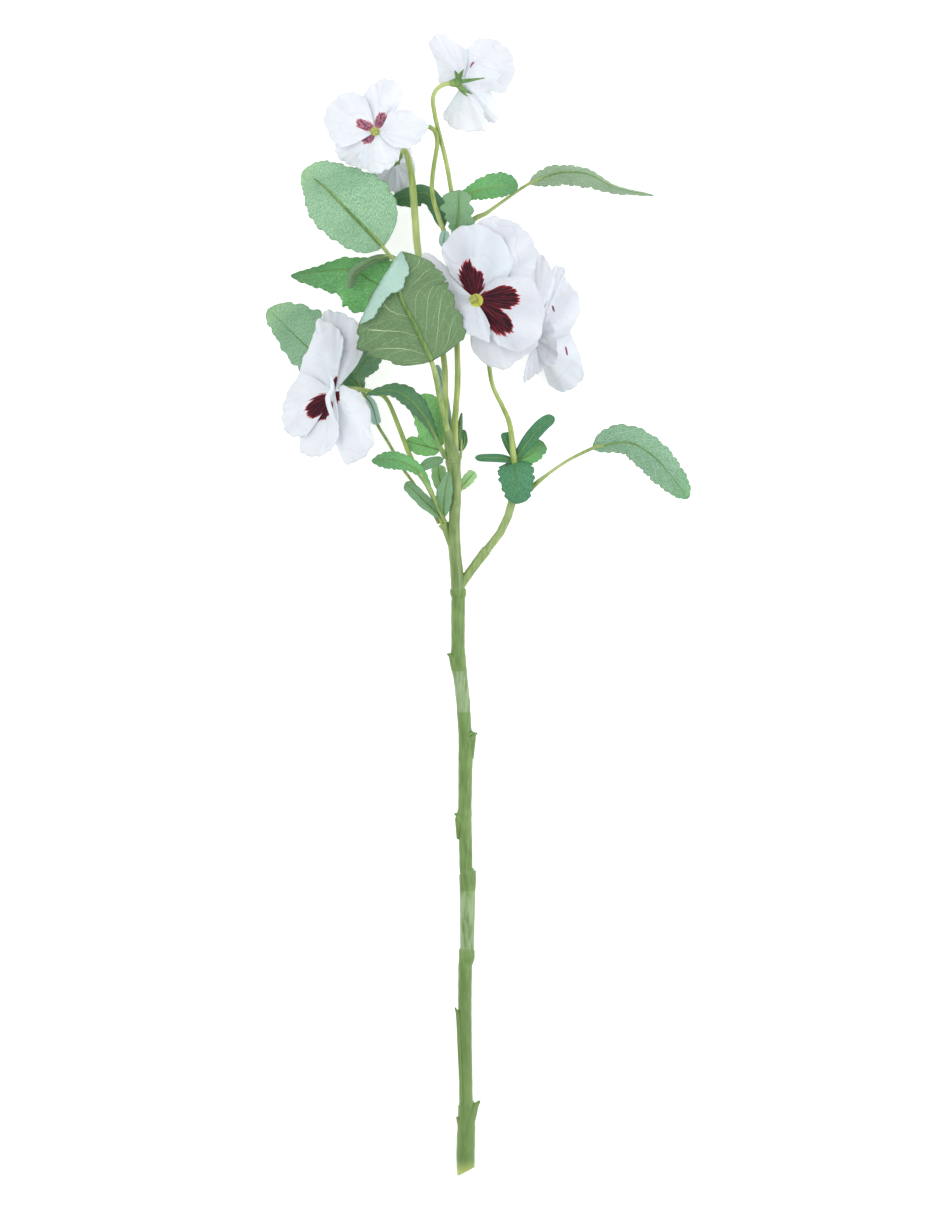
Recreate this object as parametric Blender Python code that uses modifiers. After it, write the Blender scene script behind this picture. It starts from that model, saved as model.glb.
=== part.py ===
"""A cut pansy spray with six white blooms, lying on a level surface.

The plan is drawn in millimetres: x to the right, y along the stem towards the blooms, z up from the
surface. Every point below is in that plan, and MM turns it into Blender's metres.
"""

import math

import bmesh
import bpy
from mathutils import Matrix, Vector

MM = 0.001
GAP = 0.3
BLADE = 0.6
RIB_SIDE = 1.2
MERGE = 0.00001
SMOOTH_SEAM = math.radians(5.0)

SPINE_STEP = 0.02
NARROWEST = 0.3
TIP_SHARE = 0.06
LOBE_LEVEL = 0.6
RIB_SHARE = 0.4
MID_COLUMN = 0.55
RIB_TAPER = 0.6
LIFT_ENDS = 0.3
RIM_WAVES = 2.5
RIM_PHASES = (0.6, 2.4)
PETAL_PHASE = 0.8
PETAL_WAVES = 2.0
PETAL_START = 0.10

STEM_GREEN = (0.30, 0.43, 0.16)
STALK_GREEN = (0.50, 0.60, 0.22)
LEAF_DARK = (0.10, 0.27, 0.14)
LEAF_MID = (0.16, 0.38, 0.15)
LEAF_PALE = (0.34, 0.52, 0.32)
LEAF_MINT = (0.42, 0.62, 0.52)
PETAL_WHITE = (0.86, 0.88, 0.93)
EYE_YELLOW = (0.62, 0.64, 0.14)


def clear_scene():
    for old in list(bpy.data.objects):
        bpy.data.objects.remove(old, do_unlink=True)


def new_collection(name):
    made = bpy.data.collections.new(name)
    bpy.context.scene.collection.children.link(made)
    return made


def material(name, colour, roughness):
    made = bpy.data.materials.new(name)
    made.use_nodes = True
    shader = made.node_tree.nodes["Principled BSDF"]
    shader.inputs["Base Color"].default_value = (*colour, 1.0)
    shader.inputs["Roughness"].default_value = roughness
    shader.inputs["Metallic"].default_value = 0.0
    made.diffuse_color = (*colour, 1.0)
    return made


def smooth_value(knots, t):
    """The value at t, from 0 to 1, on a smooth line through evenly spaced knots."""
    if len(knots) == 1:
        return knots[0]
    place = min(max(t, 0.0), 1.0) * (len(knots) - 1)
    i = min(int(place), len(knots) - 2)
    f = place - i
    a, b = knots[i], knots[i + 1]
    before = knots[i - 1] if i > 0 else a * 2 - b
    after = knots[i + 2] if i + 2 < len(knots) else b * 2 - a
    bend = before * -1 + a * 3 - b * 3 + after
    slope = before * 2 - a * 5 + b * 4 - after
    return a + (b - before) * (0.5 * f) + slope * (0.5 * f * f) + bend * (0.5 * f * f * f)


def new_object(name, mesh, finish, collection):
    made = bpy.data.objects.new(name, mesh)
    mesh.materials.clear()
    mesh.materials.append(finish)
    mesh.shade_smooth()
    collection.objects.link(made)
    return made


def applied(piece, collection, merge=MERGE):
    """The piece as a plain mesh object: its curve or modifiers are turned into faces.

    With merge, points nearer than that are made one. Without it, nearly level faces are joined.
    """
    graph = bpy.context.evaluated_depsgraph_get()
    mesh = bpy.data.meshes.new_from_object(piece.evaluated_get(graph))
    work = bmesh.new()
    work.from_mesh(mesh)
    if merge:
        bmesh.ops.remove_doubles(work, verts=work.verts, dist=merge)
        bmesh.ops.recalc_face_normals(work, faces=work.faces)
    else:
        bmesh.ops.dissolve_limit(work, angle_limit=SMOOTH_SEAM, verts=work.verts, edges=work.edges)
    bmesh.ops.triangulate(work, faces=work.faces)
    work.to_mesh(mesh)
    work.free()
    name, finish = piece.name, piece.data.materials[0]
    bpy.data.objects.remove(piece, do_unlink=True)
    return new_object(name, mesh, finish, collection)


def tube(name, stations, finish, collection, rings=None, roundness=2):
    """A round stalk through stations of x, y, z and radius. With rings, it is smoothed to that many."""
    if rings:
        knots = [Vector(s) for s in stations]
        stations = [smooth_value(knots, k / rings) for k in range(rings + 1)]
    curve = bpy.data.curves.new(name, "CURVE")
    curve.dimensions = "3D"
    curve.bevel_depth = MM
    curve.bevel_resolution = roundness
    curve.use_fill_caps = True
    spline = curve.splines.new("POLY")
    spline.points.add(len(stations) - 1)
    for point, (x, y, z, radius) in zip(spline.points, stations):
        point.co = (x * MM, y * MM, z * MM, 1.0)
        point.radius = radius
    curve.materials.append(finish)
    piece = bpy.data.objects.new(name, curve)
    collection.objects.link(piece)
    bpy.context.view_layer.update()
    return applied(piece, collection)


def thickened(name, surface, finish, collection, rib=0.0):
    """A closed blade from an open surface: it is split alike on both faces, then given its thickness.

    Where the surface's vertex weights are above 0, the blade grows towards the rib's thickness.
    """
    bmesh.ops.remove_doubles(surface, verts=surface.verts, dist=MERGE)
    bmesh.ops.triangulate(surface, faces=surface.faces, quad_method="FIXED")
    mesh = bpy.data.meshes.new(name)
    surface.to_mesh(mesh)
    surface.free()
    piece = new_object(name, mesh, finish, collection)
    wall = piece.modifiers.new("thickness", "SOLIDIFY")
    wall.thickness = max(BLADE, rib) * MM
    wall.offset = 0.0
    if rib:
        piece.vertex_groups.new(name="rib")
        wall.vertex_group = "rib"
        wall.thickness_vertex_group = BLADE / rib
    bpy.context.view_layer.update()
    return applied(piece, collection)


def end_round(t, share):
    """Rounds off the first and last share of a blade."""
    nearest = min(t, 1.0 - t)
    if nearest >= share:
        return 1.0
    return math.sqrt(max(0.0, 1.0 - (1.0 - nearest / share) ** 2))


def blade(name, spine, left, right, finish, collection, lift=(0.0, 0.0), rows=14, columns=4,
          teeth=0, bite=0.10, ends=0.14, wave=0.0, rib=1.6, flat=False):
    """A leaf: a grid that follows its spine, with a half-width on each side and a crenate rim.

    left and right are half-widths seen from above, lift is how far each rim rises, wave ripples the
    rim, and rib is how thick the midrib is at the base.
    """
    knots = [Vector(p) for p in spine]
    surface = bmesh.new()
    bmesh.ops.create_grid(surface, x_segments=columns, y_segments=rows, size=1.0)
    weights = surface.verts.layers.deform.verify()
    middle = columns // 2
    for vertex in surface.verts:
        u, t = vertex.co.x, (vertex.co.y + 1.0) / 2.0
        column = round((u + 1.0) / 2.0 * columns)
        here = smooth_value(knots, t)
        ahead = smooth_value(knots, min(t + SPINE_STEP, 1.0)) - smooth_value(knots, max(t - SPINE_STEP, 0.0))
        across = Vector((-ahead.y, ahead.x, 0.0)).normalized()
        side, rise = (left, lift[0]) if u < 0 else (right, lift[1])
        reach = max(smooth_value(side, t), NARROWEST) * max(end_round(t, ends), TIP_SHARE)
        if teeth:
            notch = abs(math.sin(math.pi * teeth * t))
            reach *= 1.0 + bite * (notch - LOBE_LEVEL) * abs(u) ** 3
        out = abs(u)
        if columns > 2 and abs(column - middle) == 1:
            out = min(RIB_SIDE / reach, RIB_SHARE)
        elif columns > 4 and abs(column - middle) == 2:
            out = MID_COLUMN
        height = rise * out ** 1.5 * end_round(t, LIFT_ENDS)
        phase = RIM_PHASES[0] if u < 0 else RIM_PHASES[1]
        height += wave * out * out * math.sin(2.0 * math.pi * RIM_WAVES * t + phase)
        spot = here - across * (math.copysign(1.0, u) * reach * out)
        spot.z = here.z if flat else here.z + height
        vertex.co = spot * MM
        vertex[weights][0] = 1.0 - RIB_TAPER * t if column == middle else 0.0
    return thickened(name, surface, finish, collection, rib)


def petal(name, heart, rim, finish, collection, cup, ruffle, rows=3, columns=7):
    """A petal: a fan from the heart of the bloom out to a rim given by a few points round it."""
    heart = Vector(heart)
    knots = [Vector(p) for p in rim]
    surface = bmesh.new()
    bmesh.ops.create_grid(surface, x_segments=columns, y_segments=rows, size=1.0)
    for vertex in surface.verts:
        u = (vertex.co.x + 1.0) / 2.0
        v = PETAL_START + (1.0 - PETAL_START) * (vertex.co.y + 1.0) / 2.0
        reach = smooth_value(knots, u)
        swell = cup * math.sin(math.pi * v) * math.sin(math.pi * u)
        ripple = ruffle * v ** 3 * math.sin(2.0 * math.pi * PETAL_WAVES * u + PETAL_PHASE)
        spot = heart + reach * v
        spot.z += swell + ripple
        vertex.co = spot * MM
    return thickened(name, surface, finish, collection)


def fused(name, pieces, finish, collection):
    """One solid from pieces that grow out of each other."""
    rest = new_collection(name + "_repeats")
    first = pieces[0]
    for piece in pieces[1:]:
        collection.objects.unlink(piece)
        rest.objects.link(piece)
    union = first.modifiers.new("grown together", "BOOLEAN")
    union.operation = "UNION"
    union.operand_type = "COLLECTION"
    union.collection = rest
    union.solver = "MANIFOLD"
    bpy.context.view_layer.update()
    first.data.materials[0] = finish
    whole = applied(first, collection, merge=0.0)
    whole.name = name
    for piece in list(rest.objects):
        bpy.data.objects.remove(piece, do_unlink=True)
    bpy.data.collections.remove(rest)
    return whole


def settle(piece):
    """Presses what would dip below the surface flat on it."""
    for vertex in piece.data.vertices:
        vertex.co.z = max(vertex.co.z, 0.0)
    piece.data.update()


def knob(name, spot, size, finish, collection, squeeze):
    """A small rounded bump."""
    ball = bmesh.new()
    bmesh.ops.create_uvsphere(ball, u_segments=8, v_segments=4, radius=size * MM)
    bmesh.ops.scale(ball, vec=squeeze, verts=ball.verts)
    bmesh.ops.translate(ball, vec=Vector(spot) * MM, verts=ball.verts)
    bmesh.ops.triangulate(ball, faces=ball.faces)
    mesh = bpy.data.meshes.new(name)
    ball.to_mesh(mesh)
    ball.free()
    return new_object(name, mesh, finish, collection)


# Stem: stations of x, y, z and radius, from the slanted cut up to the fork

STEM_LOW = 3.9
STEM_RISE = 0.082
CUT_X = -7.2
CUT_Y = -286.0
CUT_MIDDLE = -282.9
CUT_SLANT = 0.526
CUT_DEPTH = 0.5
LIP_Y = 8.0
KNOB_RAISE = 1.0
KNOB_STRETCH = (1.0, 1.5, 1.0)

STEM_STATIONS = (
    (-7.0, -286.0, 4.4), (-7.2, -276.0, 4.6), (-7.0, -264.0, 4.5), (-6.6, -249.0, 4.2),
    (-7.0, -247.5, 3.4), (-7.2, -229.0, 3.3), (-7.6, -202.0, 3.4), (-7.4, -179.0, 3.5),
    (-6.6, -175.5, 4.0), (-6.6, -172.0, 4.0), (-6.4, -171.0, 3.5), (-6.3, -150.0, 3.8),
    (-6.2, -133.5, 4.2), (-7.0, -131.5, 3.3), (-7.5, -107.0, 3.4), (-7.8, -104.0, 3.9),
    (-7.6, -101.0, 3.4), (-7.4, -87.0, 3.5), (-7.0, -68.0, 3.8), (-7.6, -61.0, 3.4),
    (-8.4, -48.0, 3.5), (-10.0, -34.0, 3.6), (-10.9, -25.0, 3.8), (-11.0, -20.0, 3.4),
    (-11.0, -6.0, 3.5), (-10.2, 7.6, 3.6),
)
STEM_KNOBS = (
    ((-15.3, -24.0), 1.9), ((-3.6, -64.5), 1.8), ((-11.4, -104.5), 1.5), ((-2.4, -134.0), 1.3),
    ((-11.4, -201.0), 1.4), ((-1.2, -249.0), 1.6), ((-10.4, -258.0), 1.3),
)

# Fork: the upper stem with its collars, and a branch on either side

FORK_STATIONS = (
    (-11.0, LIP_Y, 28.6, 3.5), (-11.4, 15.0, 29.2, 3.4), (-12.2, 25.0, 30.0, 2.9),
    (-12.9, 40.0, 31.4, 2.8), (-12.5, 50.5, 32.2, 2.9), (-12.5, 51.5, 32.4, 3.2),
    (-12.3, 53.0, 32.5, 2.8), (-12.2, 63.0, 33.2, 2.9), (-13.0, 68.0, 33.8, 3.3),
    (-13.4, 72.0, 34.2, 3.9), (-13.4, 73.5, 34.3, 3.8),
)
RIGHT_BRANCH = (
    (-10.0, 10.0, 28.4, 2.4), (-4.7, 17.4, 27.6, 2.3), (-1.1, 22.4, 27.0, 2.4),
    (3.1, 27.8, 26.4, 2.6), (3.9, 28.6, 26.3, 2.1), (10.1, 36.6, 25.6, 2.1),
    (14.0, 44.8, 25.2, 2.1), (16.0, 52.0, 25.0, 2.1), (17.0, 62.0, 25.0, 2.2),
    (16.6, 70.5, 25.0, 2.6),
)
LEFT_BRANCH = (
    (-12.8, 11.0, 29.4, 1.8), (-13.5, 20.0, 29.6, 1.6), (-14.5, 30.0, 29.6, 1.5),
    (-17.0, 38.0, 29.4, 1.9), (-18.2, 41.0, 29.3, 2.9),
)

# Stalks: each starts a gap above what carries it

AXIS_STALK = (
    (-12.4, 73.8, 32.6, 1.9), (-12.6, 90.0, 34.0, 1.7), (-12.0, 99.0, 35.0, 1.5),
    (-11.2, 111.5, 36.0, 1.5), (-11.4, 128.0, 36.0, 1.4), (-13.0, 153.0, 36.0, 1.3),
    (-14.0, 170.0, 36.0, 1.4), (-14.3, 178.0, 36.0, 2.2), (-14.4, 181.5, 36.0, 3.2),
)
STALKS = {
    "stalk_a": (
        (-13.2, 181.8, 37.0, 1.2), (-13.6, 200.0, 38.5, 1.1), (-14.8, 210.0, 40.0, 1.1),
        (-17.0, 222.0, 41.5, 1.1), (-19.2, 231.0, 42.5, 1.1), (-21.5, 240.0, 43.2, 1.1),
        (-23.0, 247.5, 43.6, 1.1), (-23.5, 253.0, 44.0, 1.1), (-22.0, 257.2, 44.0, 1.1),
        (-19.0, 259.6, 44.0, 1.2), (-15.75, 260.55, 43.2, 1.2),
    ),
    "stalk_b": (
        (-16.0, 182.1, 37.2, 1.2), (-18.6, 188.5, 38.5, 1.2), (-21.0, 195.0, 40.0, 1.15),
        (-23.2, 202.5, 42.0, 1.1), (-24.0, 210.0, 43.5, 1.1), (-23.0, 219.5, 44.5, 1.1),
        (-21.4, 230.5, 45.0, 1.1), (-22.4, 236.5, 45.0, 1.2), (-25.8, 239.0, 44.6, 1.2),
        (-29.8, 237.6, 43.4, 1.1), (-35.0, 236.0, 41.0, 1.1), (-41.0, 236.0, 39.0, 1.1),
        (-46.0, 236.0, 38.8, 1.1), (-48.5, 236.0, 40.7, 1.1), (-49.0, 236.0, 43.2, 1.1),
    ),
    "stalk_c": (
        (-16.0, 73.8, 34.6, 1.4), (-17.0, 88.0, 34.6, 1.4), (-17.2, 103.0, 34.4, 1.4),
        (-18.0, 122.5, 34.0, 1.5), (-22.0, 143.0, 34.0, 1.6), (-27.0, 163.0, 34.0, 1.7),
        (-30.8, 176.0, 34.6, 1.8), (-32.4, 193.5, 35.4, 1.8), (-33.2, 204.5, 35.8, 1.8),
        (-34.2, 215.0, 35.8, 1.7), (-35.4, 221.0, 35.8, 1.6), (-36.6, 225.6, 35.0, 1.5),
        (-38.0, 227.4, 33.2, 1.4), (-38.8, 226.4, 31.5, 1.2),
    ),
    "stalk_d": (
        (-9.4, 133.0, 36.4, 1.2), (-7.0, 139.0, 36.6, 1.2), (-3.0, 146.0, 38.0, 1.1),
        (0.5, 151.0, 41.0, 1.1), (1.6, 153.2, 45.5, 1.1), (0.5, 153.6, 51.0, 1.1),
        (-0.17, 153.47, 53.1, 1.1),
    ),
    "stalk_e": (
        (16.4, 70.8, 25.2, 1.7), (16.0, 80.0, 25.0, 1.5), (14.8, 90.5, 24.8, 1.3),
        (11.0, 100.0, 24.4, 1.15), (6.5, 109.5, 24.0, 1.1), (4.6, 119.5, 23.4, 1.1),
        (4.2, 129.0, 23.0, 1.1), (7.5, 137.0, 23.0, 1.1), (13.5, 139.4, 23.4, 1.1),
        (19.2, 136.6, 24.0, 1.3),
    ),
    "stalk_f": (
        (-18.6, 41.3, 29.6, 1.3), (-24.6, 57.0, 29.6, 1.3), (-34.0, 73.0, 30.0, 1.25),
        (-40.0, 88.0, 30.6, 1.2), (-44.6, 99.5, 31.2, 1.1), (-48.0, 104.6, 31.4, 1.1),
        (-53.5, 106.8, 30.4, 1.1), (-60.5, 108.2, 28.4, 1.1), (-66.6, 108.8, 26.8, 1.1),
        (-69.1, 108.6, 27.6, 1.2), (-69.5, 108.4, 29.2, 1.2),
    ),
}

# Leaves: a node's own stalk, then its blades. A blade has its spine from base to tip, the
# half-widths left and right of it seen from above, and how its rims rise

LEAVES = {
    "leaf_front": {
        "colour": LEAF_DARK,
        "stalk": ((-13.4, 73.8, 37.0, 2.4), (-14.6, 80.0, 39.0, 2.0), (-17.0, 90.0, 43.0, 1.6),
                  (-20.0, 103.0, 50.0, 1.3), (-23.0, 118.0, 58.0, 1.3), (-27.5, 130.0, 63.6, 0.9)),
        "blades": (
            {"spine": ((-24.0, 122.0, 61.0), (-32.0, 139.0, 67.0), (-39.5, 154.0, 71.0),
                       (-40.5, 166.0, 72.0), (-39.0, 176.5, 70.0)),
             "left": (10.0, 20.5, 28.9, 29.0, 18.4, 10.4, 5.4, 2.6, 0.5),
             "right": (18.8, 22.4, 22.8, 24.0, 24.0, 23.2, 22.5, 19.0, 12.0), "ends": 0.08,
             "lift": (-4.0, 0.0), "rows": 16, "columns": 6, "teeth": 8, "bite": 0.09, "wave": 0.6},
            {"spine": ((-60.0, 140.5, 68.8), (-50.0, 158.5, 72.4), (-39.2, 176.5, 70.6)),
             "left": (0.6, 1.0, 1.0, 0.6), "right": (1.5, 5.0, 5.0, 9.0, 9.0, 3.0),
             "lift": (0.0, 3.6), "rows": 8, "teeth": 4, "bite": 0.2},
        ),
    },
    "leaf_upper_left": {
        "colour": LEAF_PALE,
        "stalk": ((-15.2, 151.3, 36.9, 1.1), (-27.5, 158.5, 39.0, 1.0), (-42.0, 171.5, 43.0, 0.95),
                  (-50.5, 181.5, 44.8, 1.0), (-56.0, 187.5, 45.1, 0.7)),
        "blades": (
            {"spine": ((-48.4, 179.0, 44.5), (-64.2, 195.4, 45.0), (-78.2, 209.6, 39.0),
                       (-88.4, 217.0, 32.0)),
             "left": (9.0, 13.2, 16.0, 16.4, 13.2, 8.5, 5.0),
             "right": (13.0, 20.2, 23.5, 20.0, 14.5, 10.3, 6.0),
             "lift": (-2.0, -4.0), "rows": 16, "columns": 6, "teeth": 8, "bite": 0.07, "wave": 0.6},
        ),
    },
    "leaf_left": {
        "colour": LEAF_MID,
        "stalk": ((-13.4, 137.6, 34.3, 1.1), (-19.0, 141.0, 30.4, 1.0), (-28.0, 146.0, 29.8, 1.0),
                  (-40.0, 153.0, 32.1, 0.9),
                  (-46.0, 157.0, 31.5, 0.6)),
        "blades": (
            {"spine": ((-38.0, 152.0, 32.5), (-50.5, 160.0, 31.0), (-65.0, 167.5, 29.0),
                       (-80.0, 167.0, 26.0), (-94.5, 165.0, 21.0)),
             "left": (10.0, 15.5, 18.0, 13.2, 7.8, 2.8),
             "right": (13.0, 16.0, 9.2, 5.4, 2.4, 1.3),
             "lift": (-3.0, 2.5), "rows": 16, "columns": 6, "teeth": 8, "bite": 0.12, "wave": 1.0},
        ),
    },
    "leaf_curled": {
        "colour": LEAF_MID,
        "stalk": ((-15.6, 160.0, 36.2, 0.9), (-30.0, 167.0, 37.5, 0.8), (-44.0, 174.5, 39.8, 0.8),
                  (-48.0, 174.2, 40.4, 0.6)),
        "blades": (
            {"spine": ((-43.0, 174.3, 39.6), (-51.0, 173.5, 41.0), (-57.5, 170.5, 41.0),
                       (-63.0, 166.0, 39.0), (-65.0, 158.5, 35.5)),
             "left": (1.5, 2.6, 3.2, 3.6, 3.2), "right": (1.5, 2.6, 3.0, 3.4, 3.0),
             "lift": (-3.0, -3.4), "rows": 12},
        ),
    },
    "sprig_left": {
        "colour": LEAF_DARK,
        "stalk": ((-20.6, 41.3, 28.4, 0.9), (-25.4, 50.0, 27.2, 0.8), (-33.0, 61.0, 26.0, 0.8),
                  (-39.5, 70.0, 24.0, 0.8), (-44.0, 78.5, 21.0, 0.8), (-51.5, 91.0, 17.0, 0.8),
                  (-55.0, 98.5, 14.0, 0.8), (-59.0, 108.0, 9.0, 1.2), (-64.0, 110.5, 4.6, 1.0),
                  (-72.0, 115.5, 0.9, 0.9)),
        "blades": (
            {"spine": ((-66.5, 111.0, 0.3), (-87.0, 130.0, 0.3), (-106.0, 148.5, 0.3)),
             "left": (5.0, 9.5, 11.2, 10.0, 7.0, 5.0), "right": (6.0, 14.0, 17.5, 17.5, 13.5, 7.0),
             "rows": 14, "teeth": 7, "bite": 0.12, "flat": True},
            {"spine": ((-59.0, 107.5, 9.0), (-61.5, 115.0, 13.0), (-57.0, 123.0, 16.0),
                       (-51.5, 130.0, 18.0)),
             "left": (2.0, 4.5, 5.5, 3.5), "right": (2.0, 5.0, 7.5, 5.0),
             "lift": (-1.5, -2.0), "rows": 8, "teeth": 4},
            {"spine": ((-59.0, 107.5, 9.0), (-63.5, 112.0, 12.0), (-68.5, 115.5, 13.5)),
             "left": (2.5, 4.0, 3.0), "right": (2.0, 3.5, 2.5), "rows": 6, "columns": 2},
            {"spine": ((-58.0, 105.5, 10.0), (-54.5, 101.0, 17.5), (-52.5, 95.5, 20.0),
                       (-51.6, 90.5, 20.5)),
             "left": (1.5, 2.4, 2.2, 2.6), "right": (1.5, 2.0, 2.0, 2.6),
             "lift": (-2.0, -2.0), "rows": 8, "columns": 2},
        ),
    },
    "leaf_arched": {
        "colour": LEAF_DARK,
        "stalk": ((-16.6, 73.8, 37.0, 1.0), (-20.0, 80.0, 39.6, 0.9), (-26.0, 92.0, 45.0, 0.7)),
        "blades": (
            {"spine": ((-21.0, 82.0, 40.5), (-26.0, 92.0, 45.0), (-34.5, 102.5, 51.0),
                       (-44.0, 107.5, 51.0), (-57.0, 105.5, 46.0)),
             "left": (1.2, 2.2, 4.0, 4.0, 2.6, 1.0), "right": (1.2, 2.4, 5.0, 5.2, 3.0, 1.0),
             "lift": (-3.0, -4.0), "rows": 12, "teeth": 6},
        ),
    },
    "leaf_bright": {
        "colour": LEAF_MID,
        "stalk": ((-17.8, 73.8, 33.2, 0.8), (-20.5, 80.0, 31.8, 0.8), (-23.0, 88.0, 30.6, 0.6)),
        "blades": (
            {"spine": ((-20.0, 78.5, 32.0), (-23.0, 88.0, 30.6), (-26.5, 98.0, 30.2),
                       (-28.0, 106.0, 30.0)),
             "left": (3.0, 8.0, 8.0, 7.5, 5.0), "right": (2.5, 4.6, 7.0, 7.5, 5.0),
             "lift": (-2.0, 0.0), "rows": 10, "teeth": 5},
            {"spine": ((-20.0, 78.0, 32.0), (-28.0, 80.0, 28.4), (-37.0, 82.5, 27.0)),
             "left": (2.5, 4.6, 5.0, 3.0), "right": (2.5, 3.4, 3.6, 2.4), "rows": 8, "teeth": 4},
        ),
    },
    "leaf_strip": {
        "colour": LEAF_MINT,
        "stalk": ((-15.0, 73.8, 30.9, 0.6), (-15.3, 80.0, 30.4, 0.6), (-15.6, 86.0, 30.4, 0.5)),
        "blades": (
            {"spine": ((-15.2, 80.0, 30.4), (-16.0, 95.5, 30.4), (-19.0, 110.5, 29.6),
                       (-21.5, 120.5, 28.4)),
             "left": (1.0, 2.2, 2.6, 2.4), "right": (1.0, 1.6, 1.8, 1.6),
             "lift": (-3.0, 0.0), "rows": 10, "columns": 2},
        ),
    },
    "leaf_pointed": {
        "colour": LEAF_DARK,
        "stalk": ((-9.6, 73.8, 33.0, 0.6), (-9.4, 78.0, 32.1, 0.6), (-9.3, 83.0, 31.2, 0.5)),
        "blades": (
            {"spine": ((-9.6, 77.0, 32.1), (-10.2, 86.0, 29.2), (-9.2, 96.5, 27.6)),
             "left": (1.0, 2.2, 1.4), "right": (1.0, 2.2, 1.4), "lift": (-1.6, -1.6),
             "rows": 8, "columns": 2},
            {"spine": ((-9.4, 77.4, 32.0), (-7.8, 82.0, 28.4), (-8.4, 88.0, 26.0)),
             "left": (0.9, 2.2, 1.6), "right": (0.9, 1.6, 1.4), "rows": 6, "columns": 2},
        ),
    },
    "sprig_collar": {
        "colour": LEAF_MINT,
        "stalk": ((-17.2, 41.9, 31.6, 1.0), (-20.6, 48.5, 35.7, 0.9)),
        "blades": (
            {"spine": ((-18.2, 43.8, 33.0), (-24.4, 57.0, 41.4), (-30.5, 67.0, 47.4),
                       (-38.0, 71.6, 50.4), (-46.0, 73.2, 49.0), (-54.0, 72.4, 44.0)),
             "left": (1.5, 3.0, 3.0, 3.0, 4.6, 4.6, 2.5), "right": (1.5, 3.0, 3.4, 3.0, 4.2, 3.6, 1.5),
             "lift": (-1.6, -1.6), "rows": 16, "teeth": 8},
            {"spine": ((-18.2, 43.8, 33.0), (-17.6, 55.0, 38.0), (-15.4, 67.5, 41.5)),
             "left": (1.2, 3.6, 2.8), "right": (1.2, 2.6, 2.2), "rows": 8, "teeth": 4},
            {"spine": ((-18.8, 43.5, 32.2), (-26.4, 51.0, 34.2), (-33.0, 57.6, 34.8),
                       (-37.4, 61.5, 34.0)),
             "left": (1.2, 3.4, 3.4, 2.6), "right": (1.2, 3.0, 3.0, 2.2), "rows": 8, "teeth": 4},
        ),
    },
    "leaf_behind_stem": {
        "colour": LEAF_MID,
        "stalk": ((-15.0, 49.6, 29.4, 0.8), (-18.0, 56.0, 26.7, 0.8), (-19.0, 59.5, 26.2, 0.6)),
        "blades": (
            {"spine": ((-17.2, 54.0, 27.0), (-20.0, 63.0, 25.8), (-21.0, 70.5, 25.4)),
             "left": (1.6, 3.8, 3.2), "right": (1.6, 4.0, 3.2), "rows": 8, "teeth": 4},
        ),
    },
    "leaf_small_right": {
        "colour": LEAF_MID,
        "stalk": ((-10.4, 56.6, 29.4, 0.8), (-7.6, 60.9, 28.3, 0.6)),
        "blades": (
            {"spine": ((-9.4, 58.2, 28.8), (-6.5, 62.5, 28.0), (-2.6, 67.0, 27.4)),
             "left": (1.2, 2.8, 2.6), "right": (1.2, 2.8, 2.4), "rows": 8, "teeth": 4},
        ),
    },
    "leaf_top_mint": {
        "colour": LEAF_MINT,
        "stalk": ((-12.6, 181.8, 39.2, 0.9), (-11.6, 188.0, 41.4, 0.8), (-11.2, 192.0, 42.4, 0.6)),
        "blades": (
            {"spine": ((-12.0, 186.0, 40.6), (-10.8, 195.0, 43.0), (-10.4, 207.5, 43.0)),
             "left": (2.5, 5.5, 8.5, 6.0), "right": (3.0, 7.5, 6.5, 5.0),
             "lift": (0.0, -2.0), "rows": 12, "teeth": 4, "bite": 0.36},
        ),
    },
    "leaf_top_dark": {
        "colour": LEAF_DARK,
        "stalk": ((-17.2, 181.8, 34.8, 0.9), (-19.4, 192.0, 32.2, 0.7)),
        "blades": (
            {"spine": ((-18.4, 188.0, 33.0), (-21.5, 199.5, 30.4), (-27.5, 206.0, 29.0),
                       (-36.0, 205.0, 28.0), (-44.5, 202.5, 26.0)),
             "left": (2.0, 4.0, 4.5, 6.5, 5.5, 2.5), "right": (2.0, 4.5, 4.0, 4.0, 3.5, 2.0),
             "lift": (-2.0, -2.0), "rows": 12, "teeth": 6},
        ),
    },
    "leaf_top_small": {
        "colour": LEAF_MINT,
        "stalk": ((-16.7, 177.8, 38.0, 0.8), (-17.9, 180.8, 40.3, 0.6)),
        "blades": (
            {"spine": ((-17.4, 178.4, 39.2), (-18.0, 182.0, 40.6), (-17.4, 187.4, 41.2)),
             "left": (1.0, 2.6, 2.0), "right": (1.0, 2.6, 2.2), "rows": 8, "columns": 2},
        ),
    },
    "leaf_top_right": {
        "colour": LEAF_MID,
        "stalk": ((-11.6, 181.8, 34.4, 1.0), (-11.4, 194.0, 35.0, 0.9), (-10.0, 203.8, 36.4, 0.8),
                  (-4.0, 206.4, 37.6, 0.6)),
        "blades": (
            {"spine": ((-10.6, 204.3, 36.2), (-2.5, 206.9, 38.0), (8.5, 209.3, 39.0),
                       (19.0, 209.8, 37.0)),
             "left": (1.2, 3.6, 6.4, 6.9, 4.2), "right": (1.8, 3.8, 5.4, 5.5, 3.4),
             "lift": (-1.0, -2.0), "rows": 12, "teeth": 6},
        ),
    },
    "leaf_far_right": {
        "colour": LEAF_PALE,
        "stalk": ((-14.6, 182.2, 33.0, 1.1), (-12.0, 185.2, 31.2, 1.2), (-3.0, 193.0, 30.8, 1.4),
                  (3.0, 196.0, 30.6, 1.1), (8.0, 199.5, 30.0, 0.9), (20.0, 208.0, 30.0, 0.8),
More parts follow.
